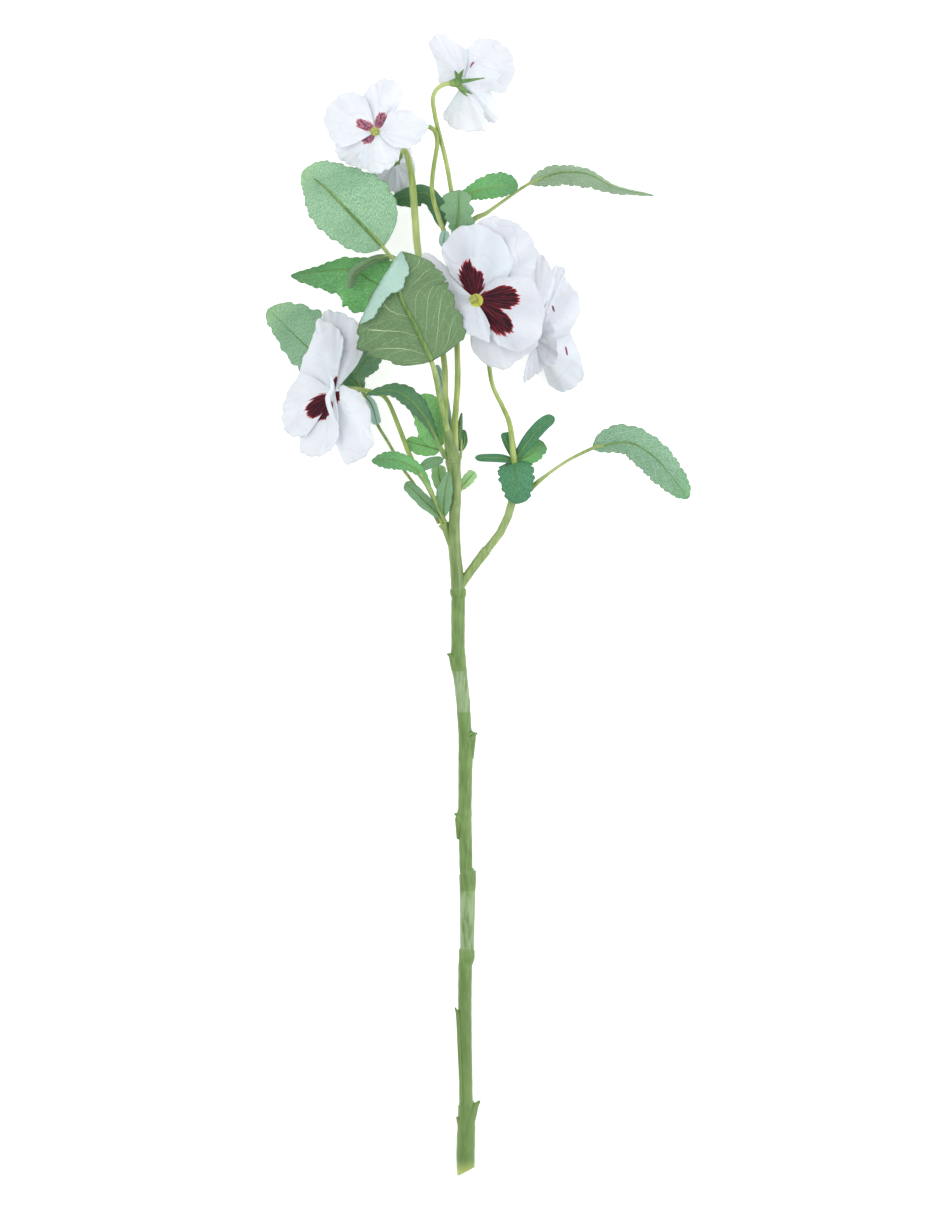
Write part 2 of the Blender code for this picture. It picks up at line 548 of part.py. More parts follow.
                  (25.0, 211.0, 30.2, 0.8), (31.0, 213.7, 31.4, 0.7)),
        "blades": (
            {"spine": ((24.5, 210.8, 30.0), (39.0, 216.0, 33.0), (53.5, 215.6, 35.0),
                       (68.0, 208.6, 33.0), (86.8, 204.9, 25.0)),
             "left": (3.2, 4.6, 3.6, 2.6, 1.5, 1.0, 0.7), "right": (2.0, 5.5, 6.5, 7.0, 4.5, 2.0, 0.7),
             "lift": (-2.0, -6.0), "rows": 14, "teeth": 7, "bite": 0.12},
        ),
    },
    "leaf_long_right": {
        "colour": LEAF_MID,
        "stalk": ((19.5, 52.4, 26.4, 1.2), (21.8, 55.0, 27.6, 1.5), (25.0, 58.5, 29.0, 1.5),
                  (33.5, 65.5, 34.0, 0.9), (44.5, 73.0, 40.0, 0.8), (57.0, 79.0, 44.8, 0.9),
                  (62.0, 80.0, 46.4, 0.7)),
        "blades": (
            {"spine": ((56.0, 78.7, 44.5), (73.5, 81.5, 49.5), (86.0, 75.0, 49.0),
                       (95.2, 65.0, 44.5), (104.0, 53.8, 37.0)),
             "left": (6.5, 9.0, 8.5, 8.2, 7.4, 6.2, 4.0), "right": (3.0, 5.0, 8.0, 9.0, 9.0, 6.8, 4.2),
             "lift": (-3.0, -3.0), "rows": 16, "teeth": 8, "bite": 0.09, "wave": 0.6},
        ),
    },
    "sprig_right": {
        "colour": LEAF_DARK,
        "stalk": ((17.6, 70.8, 27.6, 0.9), (17.6, 73.2, 29.6, 0.9)),
        "blades": (
            {"spine": ((17.4, 72.6, 29.0), (17.8, 69.0, 33.2), (18.4, 61.0, 35.6),
                       (18.6, 51.0, 33.6)),
             "left": (2.5, 8.0, 9.0, 8.0, 5.5), "right": (2.5, 8.0, 9.0, 7.5, 5.0),
             "lift": (-1.6, -1.6), "rows": 12, "teeth": 6, "bite": 0.12},
            {"spine": ((17.4, 72.2, 29.4), (10.0, 73.8, 30.4), (-2.5, 74.0, 28.6)),
             "left": (1.0, 2.0, 1.6), "right": (1.0, 2.0, 1.6), "lift": (2.6, -1.0),
             "rows": 8, "columns": 2},
            {"spine": ((17.4, 73.0, 29.4), (24.0, 82.0, 31.6), (31.0, 90.0, 33.0),
                       (37.0, 94.5, 32.0)),
             "left": (1.6, 3.4, 3.6, 2.6), "right": (1.6, 3.4, 3.6, 2.6), "lift": (-1.0, -1.0),
             "rows": 10},
            {"spine": ((17.9, 72.3, 28.7), (25.0, 75.5, 27.2), (31.5, 82.0, 26.0)),
             "left": (1.6, 4.5, 4.0), "right": (1.6, 5.0, 4.5), "rows": 8, "teeth": 4},
            {"spine": ((17.3, 72.6, 28.9), (13.6, 80.5, 28.8), (11.2, 86.4, 28.0)),
             "left": (1.2, 3.0, 2.6), "right": (1.2, 2.2, 2.0), "rows": 8, "columns": 2},
        ),
    },
}

# Blooms: the heart, the way the bloom faces, how its plane leans, and the rim of each petal as
# offsets from the heart. A sepal is the offset of its tip. Depths are measured behind the heart

THROAT = ((0.0, 0.0, -4.0, 1.8), (0.0, 0.0, 0.2, 2.6))
SINK = 1.2
CONE = ((0.0, 0.0, -9.0, 1.2), (0.0, 0.0, -7.5, 1.9), (0.0, 0.0, THROAT[0][2] - GAP, 2.6))
EYE_RADIUS = 2.1
EYE_RAISE = 1.8
EYE_SQUEEZE = (1.0, 1.0, 0.6)

SEPAL_COUNT = 5
SEPAL_TURN = 0.4
SEPAL_OUT = 7.4
SEPAL_DEPTH = 6.6
SEPAL_ROOT = 5.8
KNEE_OUT = 3.6
KNEE_DEPTH = 5.6
SEPAL_BOW = 0.4
SEPAL_WIDTHS = (1.1, 1.1, 0.3)

BLOOMS = {
    "bloom_a": {
        "heart": (-7.0, 261.5, 40.0), "facing": (0.93, 0.10, -0.34), "lean": (-0.10, 0.0),
        "open": False, "cup": -1.5, "ruffle": 1.2,
        "sepals": ((-1.0, 6.2, 3.4), (9.5, 1.8, 4.4), (3.4, -6.2, 3.6), (0.8, -7.4, 1.6),
                   (-5.6, 5.6, -2.0)),
        "petals": (
            ((-13.0, -0.5, -9.0), (-14.0, 10.5, -11.0), (-17.5, 18.5, -12.0), (-14.5, 23.5, -13.0),
             (-9.0, 24.0, -13.0), (-4.5, 20.5, -12.0), (1.5, 17.5, -10.0)),
            ((1.0, 17.0, -11.0), (6.0, 21.0, -12.0), (12.5, 22.0, -12.0), (19.5, 19.0, -12.0),
             (25.0, 12.0, -11.0), (24.5, 2.5, -11.0), (20.0, -5.0, -11.0), (15.0, -4.5, -10.0)),
            ((2.0, 5.5, 0.0), (6.0, 9.5, 1.0), (11.5, 10.0, 1.0), (17.5, 5.5, 0.0),
             (17.0, 1.5, 0.0), (12.0, -4.5, 0.6), (7.0, -6.5, 0.6), (2.5, -3.5, 0.0)),
            ((0.0, -6.5, -7.0), (-1.6, -11.5, -8.0), (-9.8, -14.8, -10.0), (-8.6, -20.0, -11.0),
             (-3.2, -23.7, -10.0), (5.0, -24.4, -9.0), (11.0, -23.5, -9.0), (10.5, -15.0, -9.0)),
            ((7.0, -8.5, -14.0), (9.0, -15.0, -15.0), (13.0, -20.0, -15.0), (17.2, -18.6, -15.0),
             (16.8, -12.5, -15.0), (14.8, -5.0, -15.0)),
        ),
    },
    "bloom_b": {
        "heart": (-52.2, 236.5, 52.0), "facing": (-0.34, 0.05, 0.94), "lean": (0.36, -0.05),
        "open": True, "cup": 2.4, "ruffle": 1.3, "sepals": (),
        "petals": (
            ((-18.0, -8.5, 3.0), (-23.0, -2.5, 2.0), (-26.0, 7.5, 1.5), (-21.0, 16.0, 1.5),
             (-13.0, 20.0, 2.0), (-6.0, 18.0, 3.0)),
            ((-8.0, 17.5, -2.0), (-2.0, 23.5, -2.0), (5.0, 26.5, -3.0), (11.5, 23.0, -4.0),
             (13.0, 17.5, -4.0), (10.0, 10.5, -2.0)),
            ((9.0, 12.0, 2.0), (16.0, 10.5, 1.0), (23.0, 6.0, 0.0), (26.0, 2.5, -1.0),
             (22.0, -4.5, -1.0), (17.0, -8.0, 0.0), (10.0, -8.5, 1.0)),
            ((13.0, -7.5, -4.0), (10.0, -15.5, -4.0), (2.0, -20.5, -3.0), (-4.0, -19.5, -3.0),
             (-10.0, -14.0, -4.0)),
            ((-3.0, -19.0, -6.0), (-10.0, -17.5, -6.0), (-18.0, -13.5, -6.0), (-20.5, -8.0, -5.0),
             (-19.0, -3.0, -5.0)),
        ),
    },
    "bloom_c": {
        "heart": (-42.3, 221.1, 24.4), "facing": (-0.37, -0.56, -0.74), "lean": (0.0, 0.0),
        "open": False, "cup": -2.0, "ruffle": 1.0,
        "sepals": ((5.0, -2.0, 6.5), (0.0, -6.0, 6.5), (-6.0, -2.0, 5.0), (-2.0, 5.0, 1.0),
                   (6.5, 3.0, 0.0)),
        "petals": (
            ((7.5, -2.0, -5.0), (8.0, -8.0, -7.0), (7.0, -14.0, -9.0), (2.0, -17.5, -9.0),
             (-2.5, -15.0, -7.0)),
            ((-1.0, -15.0, -4.0), (-6.0, -16.0, -5.0), (-11.0, -12.0, -5.0), (-12.0, -6.0, -6.0),
             (-9.0, -1.0, -6.0)),
            ((-11.0, -3.0, -13.0), (-14.0, 3.0, -16.0), (-10.0, 8.5, -17.0), (-3.5, 9.0, -16.0)),
            ((-4.5, 9.0, -14.0), (1.0, 11.0, -17.0), (6.8, 8.0, -18.0), (8.0, 2.0, -16.0)),
            ((8.5, 3.0, -13.0), (9.5, -4.0, -16.0), (7.5, -10.5, -18.0), (2.0, -12.0, -17.0)),
        ),
    },
    "bloom_d": {
        "heart": (-3.0, 153.0, 62.0), "facing": (-0.30, -0.05, 0.95), "lean": (0.30, 0.04),
        "open": True, "cup": 2.6, "ruffle": 1.2, "sepals": (),
        "petals": (
            ((-12.0, 12.0, -1.0), (-16.5, 24.0, -2.0), (-9.5, 34.5, -3.0), (2.0, 37.0, -3.0),
             (13.0, 31.0, -3.0), (19.0, 19.0, -2.0), (16.0, 9.0, -1.0)),
            ((12.0, 11.0, 2.0), (27.0, 10.0, 1.0), (34.5, -3.0, 0.0), (32.5, -19.0, 0.0),
             (23.0, -26.5, 1.0), (12.0, -23.0, 2.0), (5.0, -14.0, 3.0)),
            ((-10.0, 13.5, 1.0), (-25.0, 23.0, -2.0), (-25.0, 4.0, -2.0), (-15.0, -12.0, 0.5),
             (-3.0, -17.5, 3.0), (6.5, -21.5, 5.0), (8.0, -14.5, 6.0)),
            ((3.0, 37.0, -9.0), (13.0, 40.5, -9.0), (23.0, 36.0, -9.0), (30.0, 27.0, -9.0),
             (30.5, 17.0, -8.0), (25.0, 7.0, -7.0)),
            ((-2.0, -12.0, -7.0), (-1.5, -24.0, -9.0), (5.0, -32.0, -9.0), (15.0, -35.0, -9.0),
             (23.0, -29.5, -9.0), (31.0, -23.0, -9.0), (29.0, -12.0, -8.0)),
        ),
    },
    "bloom_e": {
        "heart": (28.5, 134.0, 25.0), "facing": (0.93, -0.10, 0.34), "lean": (0.0, 0.0),
        "open": False, "cup": 1.5, "ruffle": 1.1, "sepals": (),
        "petals": (
            ((-3.0, 20.0, 1.0), (-3.5, 37.0, -2.0), (0.0, 43.0, -4.0), (5.0, 40.0, -5.0),
             (9.5, 31.5, -6.0), (9.0, 24.0, -5.0), (5.5, 16.0, -2.0)),
            ((6.5, 22.0, -9.0), (9.4, 35.0, -13.0), (14.8, 34.6, -15.0), (15.6, 29.0, -16.0),
             (21.4, 22.0, -16.0), (22.4, 13.5, -15.0), (18.4, 1.5, -12.0)),
            ((18.0, 4.0, -18.0), (22.0, -7.0, -22.0), (24.5, -19.0, -24.4), (20.0, -24.5, -24.4),
             (14.0, -27.0, -24.4), (7.5, -23.5, -22.0), (4.5, -16.0, -16.0)),
            ((2.0, 12.0, 5.0), (6.5, 11.0, 6.0), (10.0, 2.0, 6.0), (11.3, -6.0, 6.0),
             (10.8, -12.5, 5.0), (5.5, -15.5, 4.0)),
            ((4.0, -17.5, 1.0), (0.5, -18.6, 1.0), (-5.2, -22.5, 2.0), (-5.2, -17.0, 4.0),
             (-1.8, -7.0, 4.0)),
        ),
    },
    "bloom_f": {
        "heart": (-73.0, 107.0, 38.0), "facing": (-0.38, -0.15, 0.91), "lean": (0.34, 0.08),
        "open": False, "cup": 2.2, "ruffle": 1.3, "sepals": (),
        "petals": (
            ((-8.4, 36.5, -8.0), (-4.7, 40.2, -9.0), (0.8, 39.8, -9.0), (7.0, 37.6, -9.0),
             (12.0, 33.0, -9.0), (14.4, 21.5, -8.0), (10.5, 12.5, -7.0), (5.5, 7.0, -6.0)),
            ((3.0, 16.0, 1.0), (4.4, 25.0, 0.0), (1.0, 32.0, -1.0), (-8.0, 36.0, -2.0),
             (-10.4, 28.0, -2.0), (-15.0, 17.5, -2.0), (-19.5, 8.5, -1.0)),
            ((-18.0, 10.0, 3.0), (-24.5, -3.0, 1.0), (-26.3, -13.0, 0.0), (-23.5, -21.0, 0.0),
             (-15.5, -24.0, 1.0)),
            ((-18.2, -22.0, -2.0), (-16.8, -30.2, -3.0), (-10.5, -32.7, -3.0), (-4.0, -31.0, -2.0),
             (1.5, -24.0, 4.0), (2.0, -14.0, 8.0)),
            ((4.0, 3.0, -3.0), (12.0, -0.5, -4.0), (17.5, -8.5, -4.0), (18.0, -19.0, -4.0),
             (19.5, -27.0, -4.0), (12.0, -34.5, -4.0), (5.5, -36.0, -4.0), (0.5, -28.0, -3.0)),
        ),
    },
}


def turned(piece, heart, facing):
    """Turns a piece drawn round the z axis so that it faces the given way at the heart."""
    turn = Vector((0.0, 0.0, 1.0)).rotation_difference(Vector(facing)).to_matrix().to_4x4()
    piece.data.transform(turn)
    for vertex in piece.data.vertices:
        vertex.co += Vector(heart) * MM
    piece.data.update()
    return piece


def make_stems(collection):
    """The lower stem with its sleeves and knobs, and the glossy fork above it."""
    green = material("moulded stem", STEM_GREEN, 0.4)
    stations = []
    for x, y, radius in STEM_STATIONS:
        stations.append((x, y, STEM_LOW + STEM_RISE * (y - CUT_Y), radius))
    pieces = [tube("stem_lower", stations, green, collection, roundness=3)]
    for (x, y), size in STEM_KNOBS:
        z = STEM_LOW + STEM_RISE * (y - CUT_Y) + KNOB_RAISE
        pieces.append(knob("knob", (x, y, z), size, green, collection, KNOB_STRETCH))
    lower = fused("stem_lower", pieces, green, collection)
    for vertex in lower.data.vertices:
        if vertex.co.y < (CUT_Y + CUT_DEPTH) * MM:
            vertex.co.y = CUT_MIDDLE * MM + CUT_SLANT * (vertex.co.x - CUT_X * MM)
    settle(lower)
    fork = [tube("stem_fork", FORK_STATIONS, green, collection, roundness=3),
            tube("right", RIGHT_BRANCH, green, collection),
            tube("left", LEFT_BRANCH, green, collection)]
    fused("stem_fork", fork, green, collection)


def make_stalks(collection):
    """The upper axis and the flower stalks."""
    green = material("moulded stalk", STALK_GREEN, 0.4)
    tube("stalk_axis", AXIS_STALK, green, collection, rings=14)
    for name, stations in STALKS.items():
        tube(name, stations, green, collection, rings=len(stations) + 3, roundness=1)


def make_leaves(collection):
    """Every leaf and leafy sprig, each fused with its own stalk and midrib."""
    for name, plan in LEAVES.items():
        finish = material(name, plan["colour"], 0.7)
        stalk = tube(name, plan["stalk"], finish, collection, rings=2 * len(plan["stalk"]),
                     roundness=1)
        pieces = [stalk]
        for shape in plan["blades"]:
            pieces.append(blade("blade", finish=finish, collection=collection, **shape))
        whole = fused(name, pieces, finish, collection)
        settle(whole)


def sepal_spines(plan):
    """Spines of the five sepals, as offsets from the heart: past the cone first, then out to the tip."""
    axis = Vector(plan["facing"]).normalized()
    side = axis.orthogonal().normalized()
    tips = [Vector(tip) for tip in plan["sepals"]]
    if not tips:
        for k in range(SEPAL_COUNT):
            turn = Matrix.Rotation(2.0 * math.pi * k / SEPAL_COUNT + SEPAL_TURN, 3, axis)
            tips.append(turn @ side * SEPAL_OUT - axis * SEPAL_DEPTH)
    spines = []
    for tip in tips:
        out = (tip - axis * tip.dot(axis)).normalized()
        knee = out * KNEE_OUT - axis * KNEE_DEPTH
        spines.append((-axis * SEPAL_ROOT, knee, (knee + tip) / 2.0 + out * SEPAL_BOW, tip))
    return spines


def make_calyx(name, plan, collection):
    """The green cone behind a bloom with its five sepals."""
    finish = material(name, STALK_GREEN, 0.5)
    heart = Vector(plan["heart"])
    pieces = [turned(tube("cone", CONE, finish, collection, roundness=1), heart, plan["facing"])]
    for spine in sepal_spines(plan):
        route = [heart + point for point in spine]
        pieces.append(blade("sepal", route, SEPAL_WIDTHS, SEPAL_WIDTHS, finish, collection,
                            rows=2, columns=2, ends=0.02, rib=0.8))
    fused(name, pieces, finish, collection)


def make_blooms(collection):
    """Six blooms, each with its petals, calyx and eye."""
    for name, plan in BLOOMS.items():
        white = material(name + "_petals", PETAL_WHITE, 0.75)
        heart = Vector(plan["heart"])
        throat = tube("throat", THROAT, white, collection, roundness=1)
        pieces = [turned(throat, heart, plan["facing"])]
        axis = Vector(plan["facing"]).normalized()
        for rim in plan["petals"]:
            reach = []
            for dx, dy, dz in rim:
                slope = plan["lean"][0] * dx + plan["lean"][1] * dy
                reach.append((dx, dy, dz + slope))
            pieces.append(petal("petal", heart - axis * SINK, reach, white, collection,
                                plan["cup"], plan["ruffle"]))
        petals = fused(name + "_petals", pieces, white, collection)
        settle(petals)
        if plan["open"]:
            yellow = material(name + "_eye", EYE_YELLOW, 0.5)
            eye = knob(name + "_eye", (0.0, 0.0, 0.0), EYE_RADIUS, yellow, collection, EYE_SQUEEZE)
            turned(eye, heart + axis * EYE_RAISE, plan["facing"])
        make_calyx(name + "_calyx", plan, collection)


def main():
    clear_scene()
    spray = new_collection("pansy spray")
    make_stems(spray)
    make_stalks(spray)
    make_leaves(spray)
    make_blooms(spray)


main()
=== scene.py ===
"""The looks of a cut pansy spray that lies on a pale surface.

The plan is drawn in millimetres, as the construction is: x to the right, y along the stem towards the
blooms, z up from the surface. MM turns it into Blender's metres. Every piece here stands for a solid of
the frame and follows the same spines, widths and rims, with finer edges, ribs, folds and colour.
"""

import logging
import math
from dataclasses import dataclass, field
from enum import Enum

import bmesh
import bpy
from mathutils import Matrix, Vector


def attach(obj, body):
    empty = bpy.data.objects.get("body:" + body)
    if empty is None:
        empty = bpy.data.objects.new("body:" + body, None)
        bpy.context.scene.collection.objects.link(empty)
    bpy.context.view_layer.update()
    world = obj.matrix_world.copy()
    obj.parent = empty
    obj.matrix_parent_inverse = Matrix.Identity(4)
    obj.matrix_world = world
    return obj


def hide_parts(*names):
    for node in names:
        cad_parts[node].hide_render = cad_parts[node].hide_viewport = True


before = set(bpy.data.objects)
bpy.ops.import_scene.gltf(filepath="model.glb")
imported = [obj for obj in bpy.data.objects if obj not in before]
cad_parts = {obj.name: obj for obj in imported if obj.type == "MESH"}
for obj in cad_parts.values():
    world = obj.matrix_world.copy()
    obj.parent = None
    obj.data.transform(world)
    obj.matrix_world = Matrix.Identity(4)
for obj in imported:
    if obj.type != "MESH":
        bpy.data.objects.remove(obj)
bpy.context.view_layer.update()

MM = 0.001
MERGE = 0.000001
BODY = "root"
LOG = logging.getLogger("pansy spray")
WHITE = (1.0, 1.0, 1.0, 1.0)
# Millimetres: the lowest that cloth lies, a blade's smallest half-width, and the mesh's grain on it.
LOWEST, NARROWEST, COLUMN, ROW = 0.25, 0.3, 0.9, 0.8
LEAF_THICK, SEPAL_THICK, PETAL_THICK = 0.36, 0.45, 0.30
# Shares of a spine or a rim: how far each way its direction is read, and where a midrib starts.
NUDGE, RIB_START = 0.02, 0.02
PETAL_GRID, KNOB_GRID = (54, 34), (20, 12)
# How many times a petal's crimps, wrinkles and nibbled edge go round its rim.
CRIMPS, WRINKLES, NIBBLES, FINE_NIBBLES = 9.0, 5.0, 6.0, 11.0
# The throat and the calyx along a bloom's axis, and the widths of its sepals and of its crest.
THROAT = ((-4.0, 1.8), (-1.6, 2.3))
CONE = ((-9.0, 1.2), (-7.5, 1.9), (-4.3, 2.6))
SEPAL = (1.1, 1.15, 0.7, 0.12)
CREST = (0.4, 0.9, 1.4, 0.9, 0.5), (0.5, 1.2, 1.0, 1.2, 0.5)

Colour = tuple[float, float, float]
Point = tuple[float, float, float]
Station = tuple[float, float, float, float]


def smooth_value(knots: "list[float] | list[Vector]", t: float) -> "float | Vector":
    """Reads a smooth line through evenly spaced knots.

    Args:
        knots: Numbers or vectors, at least one.
        t: Place on the line, from 0 to 1.

    Returns:
        The value there, of the knots' own kind.
    """
    if len(knots) == 1:
        return knots[0]
    place = min(max(t, 0.0), 1.0) * (len(knots) - 1)
    i = min(int(place), len(knots) - 2)
    f = place - i
    a, b = knots[i], knots[i + 1]
    before = knots[i - 1] if i > 0 else a * 2 - b
    after = knots[i + 2] if i + 2 < len(knots) else b * 2 - a
    bend = before * -1 + a * 3 - b * 3 + after
    slope = before * 2 - a * 5 + b * 4 - after
    return a + (b - before) * (0.5 * f) + slope * (0.5 * f * f) + bend * (0.5 * f * f * f)


def end_round(t: float, share: float) -> float:
    """Rounds off the first and last share of a blade.

    Args:
        t: Place along the blade, from 0 to 1.
        share: Part of the length that is rounded at each end.

    Returns:
        The factor on the blade's width, from 0 to 1.
    """
    nearest = min(t, 1.0 - t)
    if nearest >= share:
        return 1.0
    return math.sqrt(max(0.0, 1.0 - (1.0 - nearest / share) ** 2))


def unmarked(work: bmesh.types.BMesh) -> bmesh.types.BMesh:
    """Keeps petal cloth on work white all over.

    Args:
        work: The mesh work.

    Returns:
        The same work.
    """
    blotch = work.verts.layers.float.new("blotch")
    for vertex in work.verts:
        vertex[blotch] = -1.0
    return work


def bell(distance: float, width: float) -> float:
    """A smooth bump that is 1 at distance 0 and fades over the width."""
    return math.exp(-((distance / width) ** 2))


def step_up(value: float, low: float, high: float) -> float:
    """Rises smoothly from 0 at low to 1 at high."""
    f = min(max((value - low) / (high - low), 0.0), 1.0)
    return f * f * (3.0 - 2.0 * f)


def added(name: str, data: bpy.types.ID) -> bpy.types.Object:
    """Adds an object with this data to the scene."""
    made = bpy.data.objects.new(name, data)
    bpy.context.scene.collection.objects.link(made)
    return made


def grid(columns: int, rows: int) -> bmesh.types.BMesh:
    """Starts mesh work as a square sheet from -1 to 1 with its UV map.

    Args:
        columns: Faces across.
        rows: Faces along.

    Returns:
        The mesh work.
    """
    work = bmesh.new()
    work.loops.layers.uv.new("UVMap")
    bmesh.ops.create_grid(work, x_segments=columns, y_segments=rows, size=1.0, calc_uvs=True)
    return work


def closed(work: bmesh.types.BMesh) -> bmesh.types.BMesh:
    """Closes a rolled-up sheet along its seam and at its poles.

    Args:
        work: The mesh work.

    Returns:
        The same work, with its faces turned outwards.
    """
    bmesh.ops.remove_doubles(work, verts=work.verts, dist=MERGE)
    bmesh.ops.recalc_face_normals(work, faces=work.faces)
    return work


class Value:
    """A number, colour or vector that a shader node gives, with arithmetic that adds Math nodes."""

    def __init__(self, graph: "Graph", socket: bpy.types.NodeSocket) -> None:
        """Keeps the socket and the graph it belongs to."""
        self.graph = graph
        self.socket = socket

    def __add__(self, other: "Value | float") -> "Value":
        """This value plus another."""
        return self.graph.math("ADD", self, other)

    __radd__ = __add__

    def __sub__(self, other: "Value | float") -> "Value":
        """This value less another."""
        return self.graph.math("SUBTRACT", self, other)

    def __mul__(self, other: "Value | float") -> "Value":
        """This value times another."""
        return self.graph.math("MULTIPLY", self, other)

    __rmul__ = __mul__

    def __abs__(self) -> "Value":
        """This value without its sign."""
        return self.graph.math("ABSOLUTE", self)

    def fraction(self) -> "Value":
        """The part of this value after the point."""
        return self.graph.math("FRACT", self)

    def over(self, limit: "Value | float") -> "Value":
        """1 where this value is greater than the limit, 0 elsewhere."""
        return self.graph.math("GREATER_THAN", self, limit)

    def between(self, low: float, high: float) -> "Value":
        """0 at low and 1 at high, with a smooth rise between them, or a fall where high is lower."""
        settings = {"interpolation_type": "SMOOTHSTEP", "clamp": True}
        inputs = {"Value": self, "From Min": low, "From Max": high, "To Min": 0.0, "To Max": 1.0}
        if low > high:
            inputs.update({"From Min": high, "From Max": low, "To Min": 1.0, "To Max": 0.0})
        return self.graph.output("ShaderNodeMapRange", settings, inputs, "Result")


class Graph:
    """A material's node tree, with one method for each kind of step."""

    def __init__(self, name: str) -> None:
        """Starts a material that holds only its shader and its output."""
        self.material = bpy.data.materials.new(name)
        self.material.use_nodes = True
        self.tree = self.material.node_tree
        self.shader = self.tree.nodes["Principled BSDF"]

    def node(self, kind: str, settings: dict, inputs: dict) -> bpy.types.Node:
        """Adds any node.

        Args:
            kind: Blender's name of the node's type.
            settings: Attributes, set before the sockets.
            inputs: Values or links by the name or the number of the socket.

        Returns:
            The node.
        """
        made = self.tree.nodes.new(kind)
        for key, setting in settings.items():
            setattr(made, key, setting)
        for key, value in inputs.items():
            self.feed(made.inputs[key], value)
        return made

    def feed(self, socket: bpy.types.NodeSocket, value: "Value | Colour | float") -> None:
        """Links a value to a socket, or sets a number, a colour or a vector on it."""
        if isinstance(value, Value):
            self.tree.links.new(value.socket, socket)
        elif isinstance(value, tuple) and len(value) == 3 and socket.type == "RGBA":
            socket.default_value = (*value, 1.0)
        else:
            socket.default_value = value

    def output(self, kind: str, settings: dict, inputs: dict, name: str | int) -> Value:
        """Adds any node and gives one of its outputs."""
        return Value(self, self.node(kind, settings, inputs).outputs[name])

    def math(self, operation: str, *values: "Value | float") -> Value:
        """Adds a Math node on one or two values."""
        return self.output("ShaderNodeMath", {"operation": operation}, dict(enumerate(values)), 0)

    def uv(self) -> tuple[Value, Value]:
        """The two numbers of the piece's own UV map: across it and along it."""
        place = self.output("ShaderNodeUVMap", {"uv_map": "UVMap"}, {}, "UV")
        split = self.node("ShaderNodeSeparateXYZ", {}, {"Vector": place})
        return Value(self, split.outputs["X"]), Value(self, split.outputs["Y"])

    def place(self) -> Value:
        """The place on the piece in its own coordinates, which are the frame's."""
        return self.output("ShaderNodeTexCoord", {}, {}, "Object")

    def attribute(self, name: str) -> Value:
        """A number that the mesh keeps on each of its corners."""
        return self.output("ShaderNodeAttribute", {"attribute_name": name}, {}, "Fac")

    def vector(self, x: Value, y: Value) -> Value:
        """A vector from two numbers, with 0 as its third."""
        return self.output("ShaderNodeCombineXYZ", {}, {"X": x, "Y": y}, "Vector")

    def noise(self, place: Value, scale: float, detail: float = 3.0, roughness: float = 0.5) -> Value:
        """Soft noise from 0 to 1 at a place."""
        inputs = {"Vector": place, "Scale": scale, "Detail": detail, "Roughness": roughness}
        return self.output("ShaderNodeTexNoise", {}, inputs, "Fac")

    def fibres(self, across: Value, along: Value, detail: float = 1.0, roughness: float = 0.5) -> Value:
        """Noise in a piece's own two directions, so that it can be drawn out along one of them."""
        return self.noise(self.vector(across, along), 1.0, detail, roughness)

    def mix(self, factor: "Value | float", a: "Value | Colour", b: "Value | Colour") -> Value:
        """A colour between a, at factor 0, and b, at factor 1."""
        made = self.node("ShaderNodeMix", {"data_type": "RGBA", "clamp_factor": True}, {0: factor})
        self.feed(made.inputs[6], a)
        self.feed(made.inputs[7], b)
        return Value(self, made.outputs[2])

    def finish(self, colour: Value, roughness: "Value | float", height: Value | None = None,
               depth: float = 0.0, **constants: float) -> bpy.types.Material:
        """Feeds the shader and gives the material.

        Args:
            colour: What goes to Base Color.
            roughness: A number, or a value that varies.
            height: The relief, from 0 to 1, if there is one.
            depth: How deep the relief is, in millimetres.
            constants: Other sockets of the shader, with underscores for spaces.

        Returns:
            The finished material.
        """
        self.feed(self.shader.inputs["Base Color"], colour)
        self.feed(self.shader.inputs["Roughness"], roughness)
        if height is not None:
            inputs = {"Height": height, "Strength": 1.0, "Distance": depth * MM}
            relief = self.output("ShaderNodeBump", {}, inputs, "Normal")
            self.feed(self.shader.inputs["Normal"], relief)
        for name, value in constants.items():
            self.feed(self.shader.inputs[name.replace("_", " ")], value)
        return self.material


